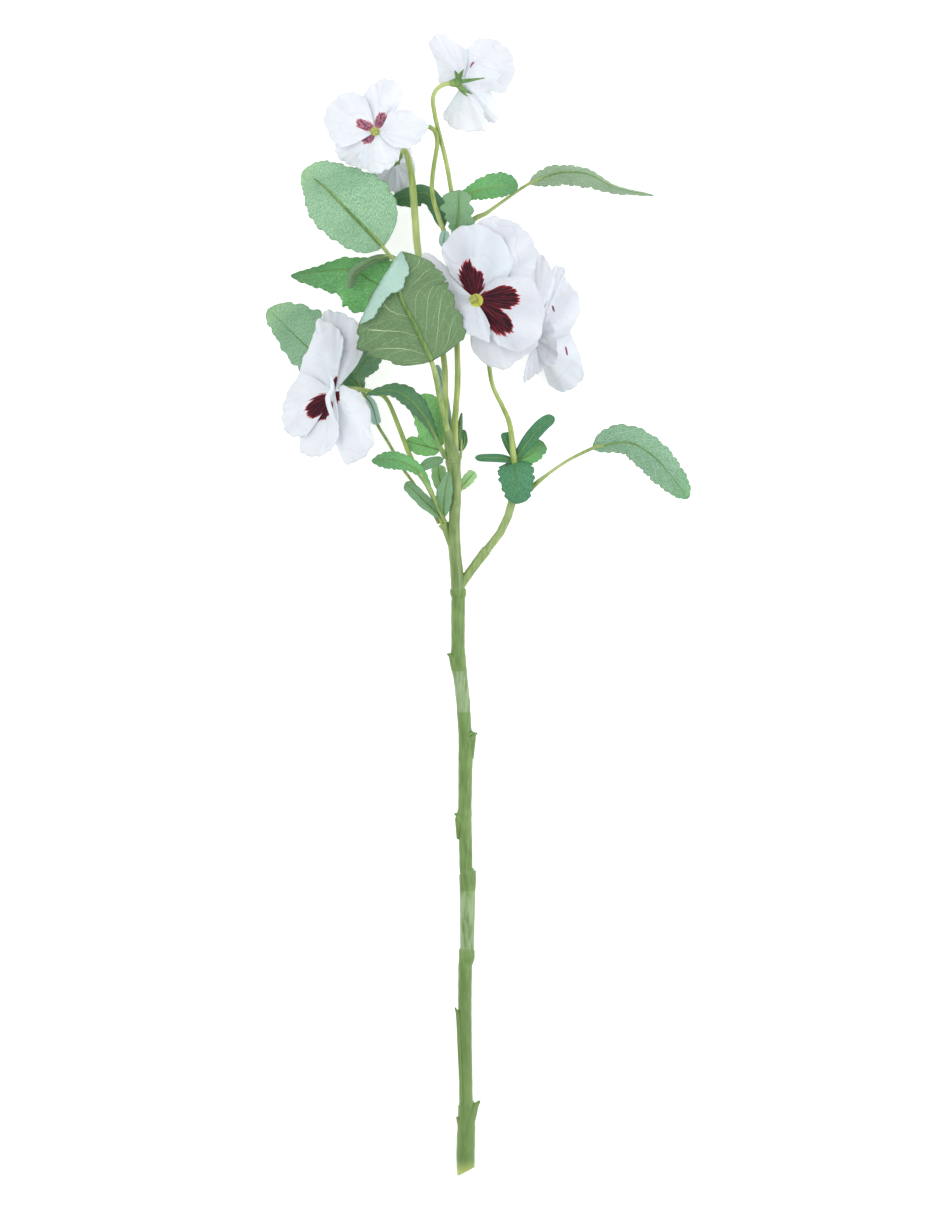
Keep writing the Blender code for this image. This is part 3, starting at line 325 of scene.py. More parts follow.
@dataclass(frozen=True)
class StemFinish:
    """Moulded stem plastic: streaked green with a soft gloss, small pits and painted glints.

    specks is how strongly the pale specks show, which are painted glints on the glossy plastic, frosted
    the stretches along Y that frost covers, each from its upper to its lower end, and cut the colour that
    the plastic turns to from cut_from to cut_to, after it has dulled from dull_from to dull_to. The last
    four say how fine the noise is.
    """

    name: str
    base: Colour
    light: Colour
    dark: Colour
    roughness: float = 0.42
    painted_glints: float = 0.35
    frost: Colour = (0.34, 0.43, 0.28)
    frosted: tuple[tuple[float, float], ...] = ()
    cut: Colour | None = None
    cut_from: float = 0.0
    cut_to: float = 0.0
    dull_from: float = -130.0
    dull_to: float = -240.0
    drawn_out: float = 0.12
    streak_scale: float = 700.0
    patch_scale: float = 45.0
    pit_and_glint_scale: float = 1600.0

    def material(self) -> bpy.types.Material:
        """Builds the material."""
        graph = Graph(self.name)
        place = graph.place()
        inputs = {"Vector": place, "Scale": (1.0, self.drawn_out, 1.0)}
        streak = graph.noise(graph.output("ShaderNodeMapping", {}, inputs, 0), self.streak_scale, 4.0)
        patch = graph.noise(place, self.patch_scale, 2.0)
        pits_and_glints = graph.noise(place, self.pit_and_glint_scale, 2.0)
        colour = graph.mix(streak.between(0.35, 0.7), self.dark, self.base)
        colour = graph.mix(patch.between(0.42, 0.72) * 0.75, colour, self.light)
        # Painted glints: small pale specks stand in for highlights on the glossy plastic.
        colour = graph.mix(pits_and_glints.between(0.66, 0.78) * self.painted_glints, colour, self.light)
        split = graph.node("ShaderNodeSeparateXYZ", {}, {"Vector": place})
        along = Value(graph, split.outputs["Y"])
        for upper, lower in self.frosted:
            below = along.between((upper + 1.0) * MM, upper * MM)
            above = along.between((lower - 1.0) * MM, lower * MM)
            colour = graph.mix(below * above * streak.between(0.30, 0.70) * 0.6, colour, self.frost)
        if self.cut is not None:
            dull = along.between(self.dull_from * MM, self.dull_to * MM)
            colour = graph.mix(dull * 0.5, colour, self.dark)
            colour = graph.mix(along.between(self.cut_from * MM, self.cut_to * MM), colour, self.cut)
        relief = streak * 0.6 + pits_and_glints * 0.4
        rough = patch * 0.2 + (self.roughness - 0.1)
        return graph.finish(colour, rough, relief, 0.10, Specular_IOR_Level=0.5)


class Network(Enum):
    """How a leaf's veins show between its midrib and its rim."""

    BRANCHING = "pale side veins that fork"
    NETTED = "a fine pale net over a bright ground"
    FLECKED = "dark flecks on a pale ground"


@dataclass(frozen=True)
class LeafFinish:
    """Printed leaf cloth with veins that follow the blade's own UV map.

    pairs is how many side veins leave the midrib on each side, sweep how far they lean to the tip,
    skew how much more they lean on one side, wander how far they stray, veins and net how strongly
    they are printed, mottle how dark the mottling is, sheen how strongly a painted sheen shows as fine
    pale grain, and tip what the far end turns to from tip_from on.
    """

    name: str
    base: Colour
    dark: Colour
    # Pale colour of the printed veins and flecks, and of the painted sheen.
    pale_print_and_sheen: Colour
    network: Network = Network.BRANCHING
    pairs: float = 6.0
    sweep: float = 0.45
    roughness: float = 0.62
    mottle: float = 0.5
    veins: float = 0.85
    net: float = 0.5
    sheen: float = 0.3
    skew: float = 0.0
    wander: float = 0.55
    tip: Colour | None = None
    tip_from: float = 0.72

    def material(self) -> bpy.types.Material:
        """Builds the material."""
        graph = Graph(self.name)
        across, along = graph.uv()
        place = graph.place()
        side = across * 2.0 - 1.0
        out = abs(side)
        wander = graph.noise(place, 60.0, 2.0) - 0.5
        sway = graph.noise(place, 240.0, 2.0) - 0.5
        slant = along - out * (side.over(0.0) * self.skew + self.sweep) + out * out * 0.14
        phase = slant * self.pairs + side.over(0.0) * 0.42 + wander * self.wander + sway * 0.05
        ridge = abs(phase.fraction() - 0.5) * 2.0
        reach = out.between(0.86, 0.58)
        main_veins = (ridge - out * -0.040).between(0.968, 1.0) * reach
        twig = slant * self.pairs * 2.0 + out * 2.4 + wander * 1.1 + sway * 0.25
        forks = (abs(twig.fraction() - 0.5) * 2.0).between(0.955, 1.0)
        forks = forks * out.between(0.22, 0.45) * out.between(1.0, 0.8)
        net = graph.fibres(slant * 34.0 + wander * 3.0, side * 9.0, 2.0)
        strands = abs(net - 0.5).between(0.040, 0.008)
        flecks = graph.fibres(slant * 190.0, side * 30.0)
        patch = graph.noise(place, 70.0, 3.0)
        grain = graph.noise(place, 1900.0, 3.0, 0.75)
        weave = graph.noise(place, 3000.0, 2.0, 0.6)
        colour = graph.mix(patch.between(0.30, 0.58) * 0.45 + 0.55, self.dark, self.base)
        if self.tip is not None:
            colour = graph.mix((along + wander * 0.2).between(self.tip_from, 1.0), colour, self.tip)
        # Random dark mottling, then painted sheen drawn as fine pale grain.
        coats = [(grain.between(0.66, 0.34) * self.mottle, self.dark),
                 (grain.between(0.46, 0.78) * self.sheen, self.pale_print_and_sheen)]
        if self.network is Network.FLECKED:
            coats += [(flecks.between(0.47, 0.60) * 0.80, self.dark),
                      (flecks.between(0.46, 0.36) * 0.35, self.pale_print_and_sheen), (main_veins * 0.25, self.pale_print_and_sheen)]
        elif self.network is Network.NETTED:
            coats += [(strands * self.net, self.pale_print_and_sheen), (forks * self.net * 0.6, self.pale_print_and_sheen)]
        else:
            coats += [(strands * self.net * 0.22, self.pale_print_and_sheen), (forks * self.veins * 0.55, self.pale_print_and_sheen)]
        if self.network is not Network.FLECKED:
            coats.append((main_veins * self.veins, self.pale_print_and_sheen))
        coats.append((out.between(0.94, 1.0) * 0.45, self.dark))
        for cover, coat in coats:
            colour = graph.mix(cover, colour, coat)
        relief = main_veins * 0.5 + strands * 0.2 + grain * 0.2 + weave * 0.1
        rough = grain * 0.2 + (self.roughness - 0.1)
        return graph.finish(colour, rough, relief, 0.20, Specular_IOR_Level=0.3)


@dataclass(frozen=True)
class PetalFinish:
    """White petal cloth: faint folds, painted lilac shade, and a dark blotch with feathered red rims.

    Each point of the mesh says how far inside a mark it lies (blotch), how near the eye (blaze), how
    much painted shade greys it, most near the heart and in bands like folds (shade), and how far its
    mark turns from maroon to plum and rose (purple).
    """

    name: str = "petal cloth"
    white: Colour = (0.67, 0.72, 0.765)
    # Colour of the painted shade.
    painted_shade: Colour = (0.41, 0.44, 0.51)
    fringe: Colour = (0.52, 0.075, 0.075)
    rim: Colour = (0.20, 0.014, 0.022)
    maroon: Colour = (0.19, 0.018, 0.030)
    black: Colour = (0.016, 0.004, 0.009)
    plum: Colour = (0.115, 0.062, 0.120)
    rose: Colour = (0.46, 0.17, 0.21)
    blaze: Colour = (0.50, 0.52, 0.10)

    def material(self) -> bpy.types.Material:
        """Builds the material."""
        graph = Graph(self.name)
        across, along = graph.uv()
        place = graph.place()
        streaks = graph.fibres(across * 22.0, along * 1.6, 3.0, 0.6)
        soft = graph.noise(place, 90.0, 2.0)
        weave = graph.noise(place, 2600.0, 1.0)
        clouds = (soft * 0.6 + streaks * 0.4).between(0.45, 0.8)
        # Soft random clouds of lilac grey, then the painted shade that the mesh carries.
        colour = graph.mix(clouds * 0.30, self.white, self.painted_shade)
        colour = graph.mix(graph.attribute("painted_shade"), colour, self.painted_shade)
        spikes = graph.fibres(across * 30.0, along * 1.5, 2.0, 0.6) - 0.5
        teeth = graph.fibres(across * 75.0, along * 3.0) - 0.5
        lobes = graph.fibres(across * 9.0, along) - 0.5
        inside = graph.attribute("blotch") + spikes * 0.75 + teeth * 0.38 + lobes * 0.35
        lines = graph.fibres(across * 60.0, along * 2.2, 3.0, 0.65)
        heart = graph.attribute("blaze")
        purple = graph.attribute("purple")
        dark = graph.mix(lines.between(0.46, 0.66), self.black, self.maroon)
        dark = graph.mix((heart * 1.2 + lines).between(0.95, 1.3), dark, self.rim)
        patches = graph.noise(place, 900.0, 2.0)
        dusk = graph.mix((patches * 0.6 + lines * 0.4).between(0.44, 0.58), self.plum, self.rose)
        dark = graph.mix(purple, dark, dusk)
        rim = graph.mix(purple, self.rim, self.rose)
        red = graph.mix((inside + lines * 0.16).between(0.12, 0.24), rim, dark)
        red = graph.mix(inside.between(0.0, 0.075), self.fringe, red)
        colour = graph.mix(inside.between(-0.012, 0.012), colour, red)
        colour = graph.mix((heart + (lines - 0.5) * 0.6).between(0.52, 0.66), colour, self.blaze)
        folds = graph.noise(place, 120.0, 2.0, 0.6)
        creases = abs(graph.noise(place, 70.0, 1.0) - 0.5).between(0.0, 0.05)
        relief = folds * 0.60 + creases * 0.22 + streaks * 0.13 + weave * 0.05
        return graph.finish(colour, 0.65, relief, 0.9, Specular_IOR_Level=0.16,
                            Subsurface_Weight=0.15, Subsurface_Scale=0.001)


@dataclass(frozen=True)
class EyeFinish:
    """The small olive-yellow eye at the heart of an open bloom."""

    name: str = "eye"
    base: Colour = (0.50, 0.52, 0.12)
    dark: Colour = (0.16, 0.20, 0.04)

    def material(self) -> bpy.types.Material:
        """Builds the material."""
        graph = Graph(self.name)
        grain = graph.noise(graph.place(), 1400.0, 3.0)
        colour = graph.mix(grain.between(0.35, 0.7), self.dark, self.base)
        return graph.finish(colour, 0.5, grain, 0.15)


STEM = StemFinish("stem plastic", (0.14, 0.25, 0.062), (0.19, 0.305, 0.092), (0.095, 0.175, 0.036),
    cut=(0.36, 0.44, 0.12), cut_from=-276, cut_to=-285, frosted=((-33, -52.5), (-143, -171)))
FORK = StemFinish("fork plastic", (0.17, 0.26, 0.075), (0.3, 0.4, 0.16), (0.105, 0.175, 0.045),
    roughness=0.32, painted_glints=0.8)
BRANCH = StemFinish("branch plastic", (0.23, 0.33, 0.1), (0.36, 0.46, 0.2), (0.16, 0.24, 0.065),
    roughness=0.34, painted_glints=0.6)
STALK = StemFinish("stalk plastic", (0.31, 0.4, 0.1), (0.47, 0.55, 0.21), (0.19, 0.28, 0.055), roughness=0.38)
RIB = StemFinish("midrib plastic", (0.13, 0.25, 0.055), (0.22, 0.35, 0.11), (0.08, 0.17, 0.03),
    roughness=0.45)
PETIOLE = StemFinish("petiole plastic", (0.28, 0.38, 0.12), (0.42, 0.5, 0.22), (0.17, 0.26, 0.06),
    roughness=0.4)
CALYX = StemFinish("calyx plastic", (0.13, 0.26, 0.06), (0.36, 0.46, 0.15), (0.06, 0.15, 0.03), roughness=0.5)

LEAF_LOOKS = {
    "front": LeafFinish("front leaf underside", (0.13, 0.23, 0.105), (0.07, 0.148, 0.062), (0.5, 0.62, 0.36),
        sweep=0.4, mottle=0.5, sheen=0.2, skew=0.25, wander=0.22),
    "flecked": LeafFinish("flecked pale leaf", (0.31, 0.53, 0.33), (0.1, 0.25, 0.125), (0.56, 0.74, 0.57),
        network=Network.FLECKED, sweep=0.65, mottle=0.3, tip=(0.42, 0.68, 0.36)),
    "bright": LeafFinish("bright leaf", (0.13, 0.41, 0.115), (0.065, 0.25, 0.07), (0.42, 0.7, 0.38),
        network=Network.NETTED, mottle=0.6, net=0.36, veins=0.6, sheen=0.2, tip=(0.075, 0.23, 0.09),
        tip_from=0.4),
    "mid": LeafFinish("mid green leaf", (0.115, 0.265, 0.13), (0.065, 0.17, 0.075), (0.34, 0.5, 0.35),
        network=Network.NETTED, mottle=0.5, net=0.4),
    "dark": LeafFinish("dark leaf", (0.075, 0.2, 0.085), (0.04, 0.125, 0.055), (0.24, 0.42, 0.26), veins=0.5,
        sheen=0.2),
    "whorl": LeafFinish("whorl leaf", (0.05, 0.21, 0.095), (0.022, 0.125, 0.05), (0.26, 0.5, 0.31),
        network=Network.NETTED, mottle=0.6, net=0.45, veins=0.6, sheen=0.1),
    # A green leaf that a strong painted sheen makes look silvery.
    "painted_sheen": LeafFinish("green leaf with painted sheen", (0.17, 0.34, 0.195), (0.08, 0.2, 0.1), (0.5, 0.68, 0.55),
        network=Network.NETTED, mottle=0.5, net=0.35, sheen=0.7, tip=(0.12, 0.36, 0.12)),
    "sage": LeafFinish("sage leaf", (0.19, 0.36, 0.19), (0.12, 0.25, 0.12), (0.36, 0.52, 0.36), veins=0.4),
    "mint": LeafFinish("mint underside", (0.36, 0.55, 0.47), (0.25, 0.44, 0.37), (0.56, 0.7, 0.64),
        network=Network.NETTED, mottle=0.3),
    "pale": LeafFinish("pale green leaf", (0.36, 0.62, 0.27), (0.22, 0.46, 0.17), (0.55, 0.76, 0.45),
        veins=0.5, mottle=0.3),
    "vivid": LeafFinish("vivid green leaf", (0.2, 0.52, 0.16), (0.09, 0.33, 0.08), (0.48, 0.78, 0.4),
        network=Network.NETTED, net=0.6, sheen=0.25),
    "dusty": LeafFinish("dusty green leaf", (0.26, 0.39, 0.24), (0.13, 0.24, 0.12), (0.5, 0.62, 0.48),
        network=Network.NETTED, net=0.35, sheen=0.5),
    "grey": LeafFinish("grey green underside", (0.16, 0.27, 0.15), (0.1, 0.19, 0.09), (0.32, 0.44, 0.28)),
}
SLOT_LOOKS = {"leaf_dark": "dark", "leaf_mid": "mid", "leaf_pale": "flecked", "leaf_mint": "mint"}

PETAL_CLOTH = PetalFinish()
EYE_YELLOW = EyeFinish()


class Wardrobe:
    """Every material of the spray, each built once."""

    def __init__(self) -> None:
        """Starts empty."""
        self.made: dict[str, bpy.types.Material] = {}

    def of(self, finish: "StemFinish | LeafFinish | PetalFinish | EyeFinish") -> bpy.types.Material:
        """The material of a finish, built the first time that it is asked for."""
        if finish.name not in self.made:
            self.made[finish.name] = finish.material()
        return self.made[finish.name]


WARDROBE = Wardrobe()


@dataclass
class Node:
    """A solid of the frame, and the pieces that stand for it in the picture."""

    name: str
    slot: str
    shown: list[bpy.types.Object] = field(default_factory=list)

    def show(self, word: str, work: bmesh.types.BMesh,
             *finishes: "StemFinish | LeafFinish | PetalFinish | EyeFinish",
             thickness: float = 0.0) -> bpy.types.Object:
        """Turns mesh work into a visible piece that rides with the frame.

        Args:
            word: What the piece is, added to the node's name.
            work: The mesh, which is used up.
            finishes: The finish of the piece, then that of its other side if it has one.
            thickness: Thickness of the cloth in millimetres, for an open surface.

        Returns:
            The piece.
        """
        name = f"{self.name}_{word}"
        mesh = bpy.data.meshes.new(name)
        work.to_mesh(mesh)
        work.free()
        mesh.shade_smooth()
        for finish in finishes:
            mesh.materials.append(WARDROBE.of(finish))
        piece = added(name, mesh)
        if thickness:
            cloth = piece.modifiers.new("cloth thickness", "SOLIDIFY")
            cloth.thickness = thickness * MM
            cloth.offset = 0.0
            cloth.material_offset = len(finishes) - 1
            cloth.use_even_offset = False
        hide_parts(self.name)
        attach(piece, BODY)
        self.shown.append(piece)
        return piece

    def report(self) -> None:
        """Reports the node and its pieces."""
        LOG.info("%s: %s", self.name, ", ".join(piece.name for piece in self.shown))


@dataclass
class Tube:
    """A round stalk through stations of x, y, z and radius, with domed ends."""

    stations: tuple[Station, ...]
    sides: int = 16
    rings: int = 60
    smooth: bool = True
    dome: float = 0.45
    unevenness: float = 0.0

    def at(self, t: float) -> Vector:
        """Gives a station.

        Args:
            t: Place along the tube, from 0 to 1.

        Returns:
            The middle and the radius there, as a vector of four.
        """
        knots = [Vector(station) for station in self.stations]
        if self.smooth:
            return smooth_value(knots, t)
        lengths = [(b.xyz - a.xyz).length for a, b in zip(knots, knots[1:])]
        left = t * sum(lengths)
        for a, b, length in zip(knots, knots[1:], lengths):
            if left <= length:
                return a.lerp(b, left / length)
            left -= length
        return knots[-1]

    def frames(self) -> list[tuple[Vector, Vector, Vector]]:
        """Works out the middle with its radius and two directions across, for each ring.

        Returns:
            One entry a ring, with the directions carried along without a twist.
        """
        middles = [self.at(k / self.rings) for k in range(self.rings + 1)]
        made = []
        across = Vector((1.0, 0.0, 0.0))
        for k, middle in enumerate(middles):
            ahead = middles[min(k + 1, self.rings)].xyz - middles[max(k - 1, 0)].xyz
            ahead.normalize()
            across = (across - ahead * across.dot(ahead)).normalized()
            made.append((middle, across, ahead.cross(across)))
        return made

    def mesh(self) -> bmesh.types.BMesh:
        """Builds the tube: a grid that is rolled up, closed along its seam and at its two poles.

        Returns:
            The mesh work in metres.
        """
        cap = 3
        rows = self.rings + 2 * cap
        work = grid(self.sides, rows)
        frames = self.frames()
        for vertex in work.verts:
            row = round((vertex.co.y + 1.0) / 2.0 * rows)
            turn = math.pi * vertex.co.x
            ring = min(max(row - cap, 0), self.rings)
            middle, across, up = frames[ring]
            radius, push = middle.w, 0.0
            past = max(cap - row, row - cap - self.rings, 0)
            if past:
                closing = 0.5 * math.pi * past / cap
                push = math.copysign(self.dome * radius * math.sin(closing), row - cap)
                radius *= math.cos(closing)
            radius *= 1.0 + self.unevenness * math.sin(3.0 * turn + 0.21 * row) * math.sin(0.37 * row)
            spot = middle.xyz + (across * math.cos(turn) + up * math.sin(turn)) * radius
            vertex.co = (spot + across.cross(up) * push) * MM
        return closed(work)


@dataclass
class Knob:
    """A small rounded knob, as the eye of a bloom is."""

    size: float
    stretch: Point

    def mesh(self) -> bmesh.types.BMesh:
        """Builds the knob round the origin.

        Returns:
            The mesh work in metres.
        """
        work = grid(*KNOB_GRID)
        for vertex in work.verts:
            turn = math.pi * vertex.co.x
            climb = math.pi * (vertex.co.y + 1.0) / 2.0
            out = math.sin(climb)
            spot = Vector((out * math.cos(turn), out * math.sin(turn), -math.cos(climb)))
            vertex.co = spot * Vector(self.stretch) * (self.size * MM)
        return closed(work)


@dataclass
class Blade:
    """A leaf's blade: a sheet along its spine, with half-widths on either side and a crenate rim.

    lift is how far each side rises, teeth and bite its lobes, crenate and notch the fine teeth of its
    rim, ends the share that is rounded, look and under the keys of its two finishes, quilt the height of
    the pillows between its pairs of veins, and rib the radius of its midrib, or 0 for none.
    """

    spine: tuple[Point, ...]
    left: tuple[float, ...]
    right: tuple[float, ...]
    lift: tuple[float, float] = (0.0, 0.0)
    teeth: int = 0
    bite: float = 0.10
    wave: float = 0.0
    flat: bool = False
    ends: float = 0.14
    look: str = ""
    under: str = ""
    crenate: int = 0
    notch: float = 0.7
    quilt: float = 0.25
    pairs: float = 8.0
    sweep: float = 0.42
    rib: float = 0.55
    rib_end: float = 0.95
    rib_taper: float = 0.75

    def length(self) -> float:
        """How long the spine is."""
        knots = [Vector(p) for p in self.spine]
        return sum((b - a).length for a, b in zip(knots, knots[1:]))

    def rim(self, side: tuple[float, ...], u: float, t: float) -> float:
        """Half the blade's width on one side, with the rim's lobes and fine teeth.

        Args:
            side: Half-widths from base to tip.
            u: Place across the blade, from 0 at the midrib to 1 at the rim.
            t: Place along the blade, from 0 to 1.

        Returns:
            The half-width in millimetres.
        """
        reach = max(smooth_value(list(side), t), NARROWEST) * max(end_round(t, self.ends), 0.02)
        if self.teeth:
            lobe = abs(math.sin(math.pi * self.teeth * t))
            reach *= 1.0 + self.bite * (lobe - 0.6) * u ** 3
        if self.crenate:
            cut = (1.0 - abs(math.sin(math.pi * self.crenate * (t - u * 0.02)))) ** 1.6
            reach -= min(self.notch, 0.25 * reach) * cut * u ** 8
        return reach

    def spot(self, u: float, t: float) -> Vector:
        """A place on the blade.

        Args:
            u: Place across it, from -1 at the left rim to 1 at the right one.
            t: Place along it, from 0 to 1.

        Returns:
            The place in millimetres.
        """
        knots = [Vector(p) for p in self.spine]
        here = smooth_value(knots, t)
        ahead = smooth_value(knots, min(t + NUDGE, 1.0)) - smooth_value(knots, max(t - NUDGE, 0.0))
        across = Vector((-ahead.y, ahead.x, 0.0)).normalized()
        side, rise = (self.left, self.lift[0]) if u < 0 else (self.right, self.lift[1])
        out = abs(u)
        height = rise * out ** 1.5 * end_round(t, 0.3)
        height += self.wave * out * out * math.sin(math.tau * 2.5 * t + (0.6 if u < 0 else 2.4))
        spot = here - across * (math.copysign(1.0, u) * self.rim(side, out, t) * out)
        spot.z = here.z if self.flat else here.z + height
        phase = (t - out * self.sweep) * self.pairs + (0.5 if u > 0 else 0.0)
        pillow = abs(math.sin(math.pi * phase)) ** 0.7
        spot.z += self.quilt * (pillow - 0.6) * math.sin(math.pi * min(out * 1.05, 1.0)) ** 0.5
        return spot

    def surface(self) -> bmesh.types.BMesh:
        """Builds the sheet of the blade, with a UV map across and along it.

        Returns:
            The mesh work in metres.
        """
        widest = max(max(self.left), max(self.right))
        columns = 2 * min(max(round(widest / COLUMN), 5), 16)
        rows = min(max(round(self.length() / ROW), self.crenate * 6, 24), 150)
        work = grid(columns, rows)
        for vertex in work.verts:
            place = self.spot(vertex.co.x, (vertex.co.y + 1.0) / 2.0)
            place.z = max(place.z, LOWEST)
            vertex.co = place * MM
        return work

    def midrib(self) -> Tube:
        """The raised midrib on the blade.

        Returns:
            A tube that thins out towards the tip.
        """
        stations = []
        for k in range(13):
            t = RIB_START + (self.rib_end - RIB_START) * k / 12
            x, y, z = self.spot(0.0, t)
            radius = self.rib * (1.0 - self.rib_taper * t / self.rib_end)
            stations.append((x, y, max(z + 0.25 * self.rib, radius), radius))
        return Tube(tuple(stations), sides=8, rings=40, dome=1.0)


@dataclass
class Leaf:
    """A leaf or a leafy sprig: its own stalk, and its blades with their midribs."""

    name: str
    slot: str
    stalk: tuple[Station, ...]
    blades: tuple[Blade, ...]
    petiole: StemFinish = PETIOLE
    midrib: StemFinish = RIB

    def build(self) -> Node:
        """Builds every piece of the leaf.

        Returns:
            The node that they stand for.
        """
        node = Node(self.name, self.slot)
        stalk = Tube(self.stalk, sides=12, rings=14 * len(self.stalk), unevenness=0.03)
        node.show("petiole", stalk.mesh(), self.petiole)
        for k, blade in enumerate(self.blades, 1):
            look = LEAF_LOOKS[blade.look or SLOT_LOOKS[self.slot]]
            under = LEAF_LOOKS[blade.under or "grey"]
            node.show(f"blade_{k}", blade.surface(), look, under, thickness=LEAF_THICK)
            if blade.rib:
                node.show(f"midrib_{k}", blade.midrib().mesh(), self.midrib)
        return node


@dataclass
class Blotch:
    """A dark mark on a petal, drawn as an ellipse round a place that is measured from the heart."""

    petal: int
    middle: tuple[float, float]
    half_length: float
    half_width: float
    angle: float = 0.0

    def inside(self, x: float, y: float) -> float:
        """How far inside the mark a place is.

        Args:
            x: Offset from the heart to the right.
            y: Offset from the heart along the stem's way.

        Returns:
            1 in the middle, 0 on the rim and less than 0 outside.
        """
        turn = math.radians(self.angle)
        dx, dy = x - self.middle[0], y - self.middle[1]
        along = dx * math.cos(turn) + dy * math.sin(turn)
        beside = dy * math.cos(turn) - dx * math.sin(turn)
        return 1.0 - math.hypot(along / self.half_length, beside / self.half_width)


@dataclass
class Petal:
    """A petal: a fan from the heart of its bloom to a rim that a few offsets give.

    shade is how much painted shade it carries, most near the heart and in bands like folds, crimp and
    waves how its rim ripples, and fullness how far its sides bulge.
    """

    rim: tuple[Point, ...]
    painted_shade: float = 0.0
    crimp: float = 0.35
    fullness: float = 1.6
    waves: float = 2.0

    def spot(self, u: float, v: float, sink: Vector, lean: tuple[float, float], cup: float,
             ruffle: float) -> Vector:
        """A place on the petal.

        Args:
            u: Place round the rim, from 0 to 1.
            v: Place from the heart, 0, to the rim, 1.
            sink: Where the fan starts.
            lean: How the plane of the bloom rises to the right and along the stem's way.
            cup: How far the petal bulges.
            ruffle: How far its rim ripples.

        Returns:
            The place in millimetres.
        """
        knots = [Vector((dx, dy, dz + lean[0] * dx + lean[1] * dy)) for dx, dy, dz in self.rim]
        corner = 1.0 - bell(u, 0.07) - bell(1.0 - u, 0.07)
        reach = smooth_value(knots, u) * (0.93 + 0.07 * corner)
        bulge = smooth_value(knots, min(u + NUDGE, 1.0)) - smooth_value(knots, max(u - NUDGE, 0.0))
        bulge = bulge.normalized() * self.fullness * (bell(1.0 - u, 0.12) - bell(u, 0.12))
        spot = sink + reach * v + bulge * math.sin(math.pi * v) * v
        rise = cup * math.sin(math.pi * v) * math.sin(math.pi * u)
        rise += ruffle * v ** 3 * math.sin(math.tau * self.waves * u + 0.8)
        rise += self.crimp * v ** 6 * math.sin(math.tau * CRIMPS * u + 5.0 * math.sin(4.0 * u))
        rise += 0.14 * math.sin(math.pi * v) * math.sin(math.tau * WRINKLES * u + 1.7 * v)
        spot.z += rise
        nibble = 0.35 * math.sin(math.tau * NIBBLES * u + 1.0)
        nibble += 0.25 * math.sin(math.tau * FINE_NIBBLES * u)
        spot += reach.normalized() * nibble * v ** 8
        return spot


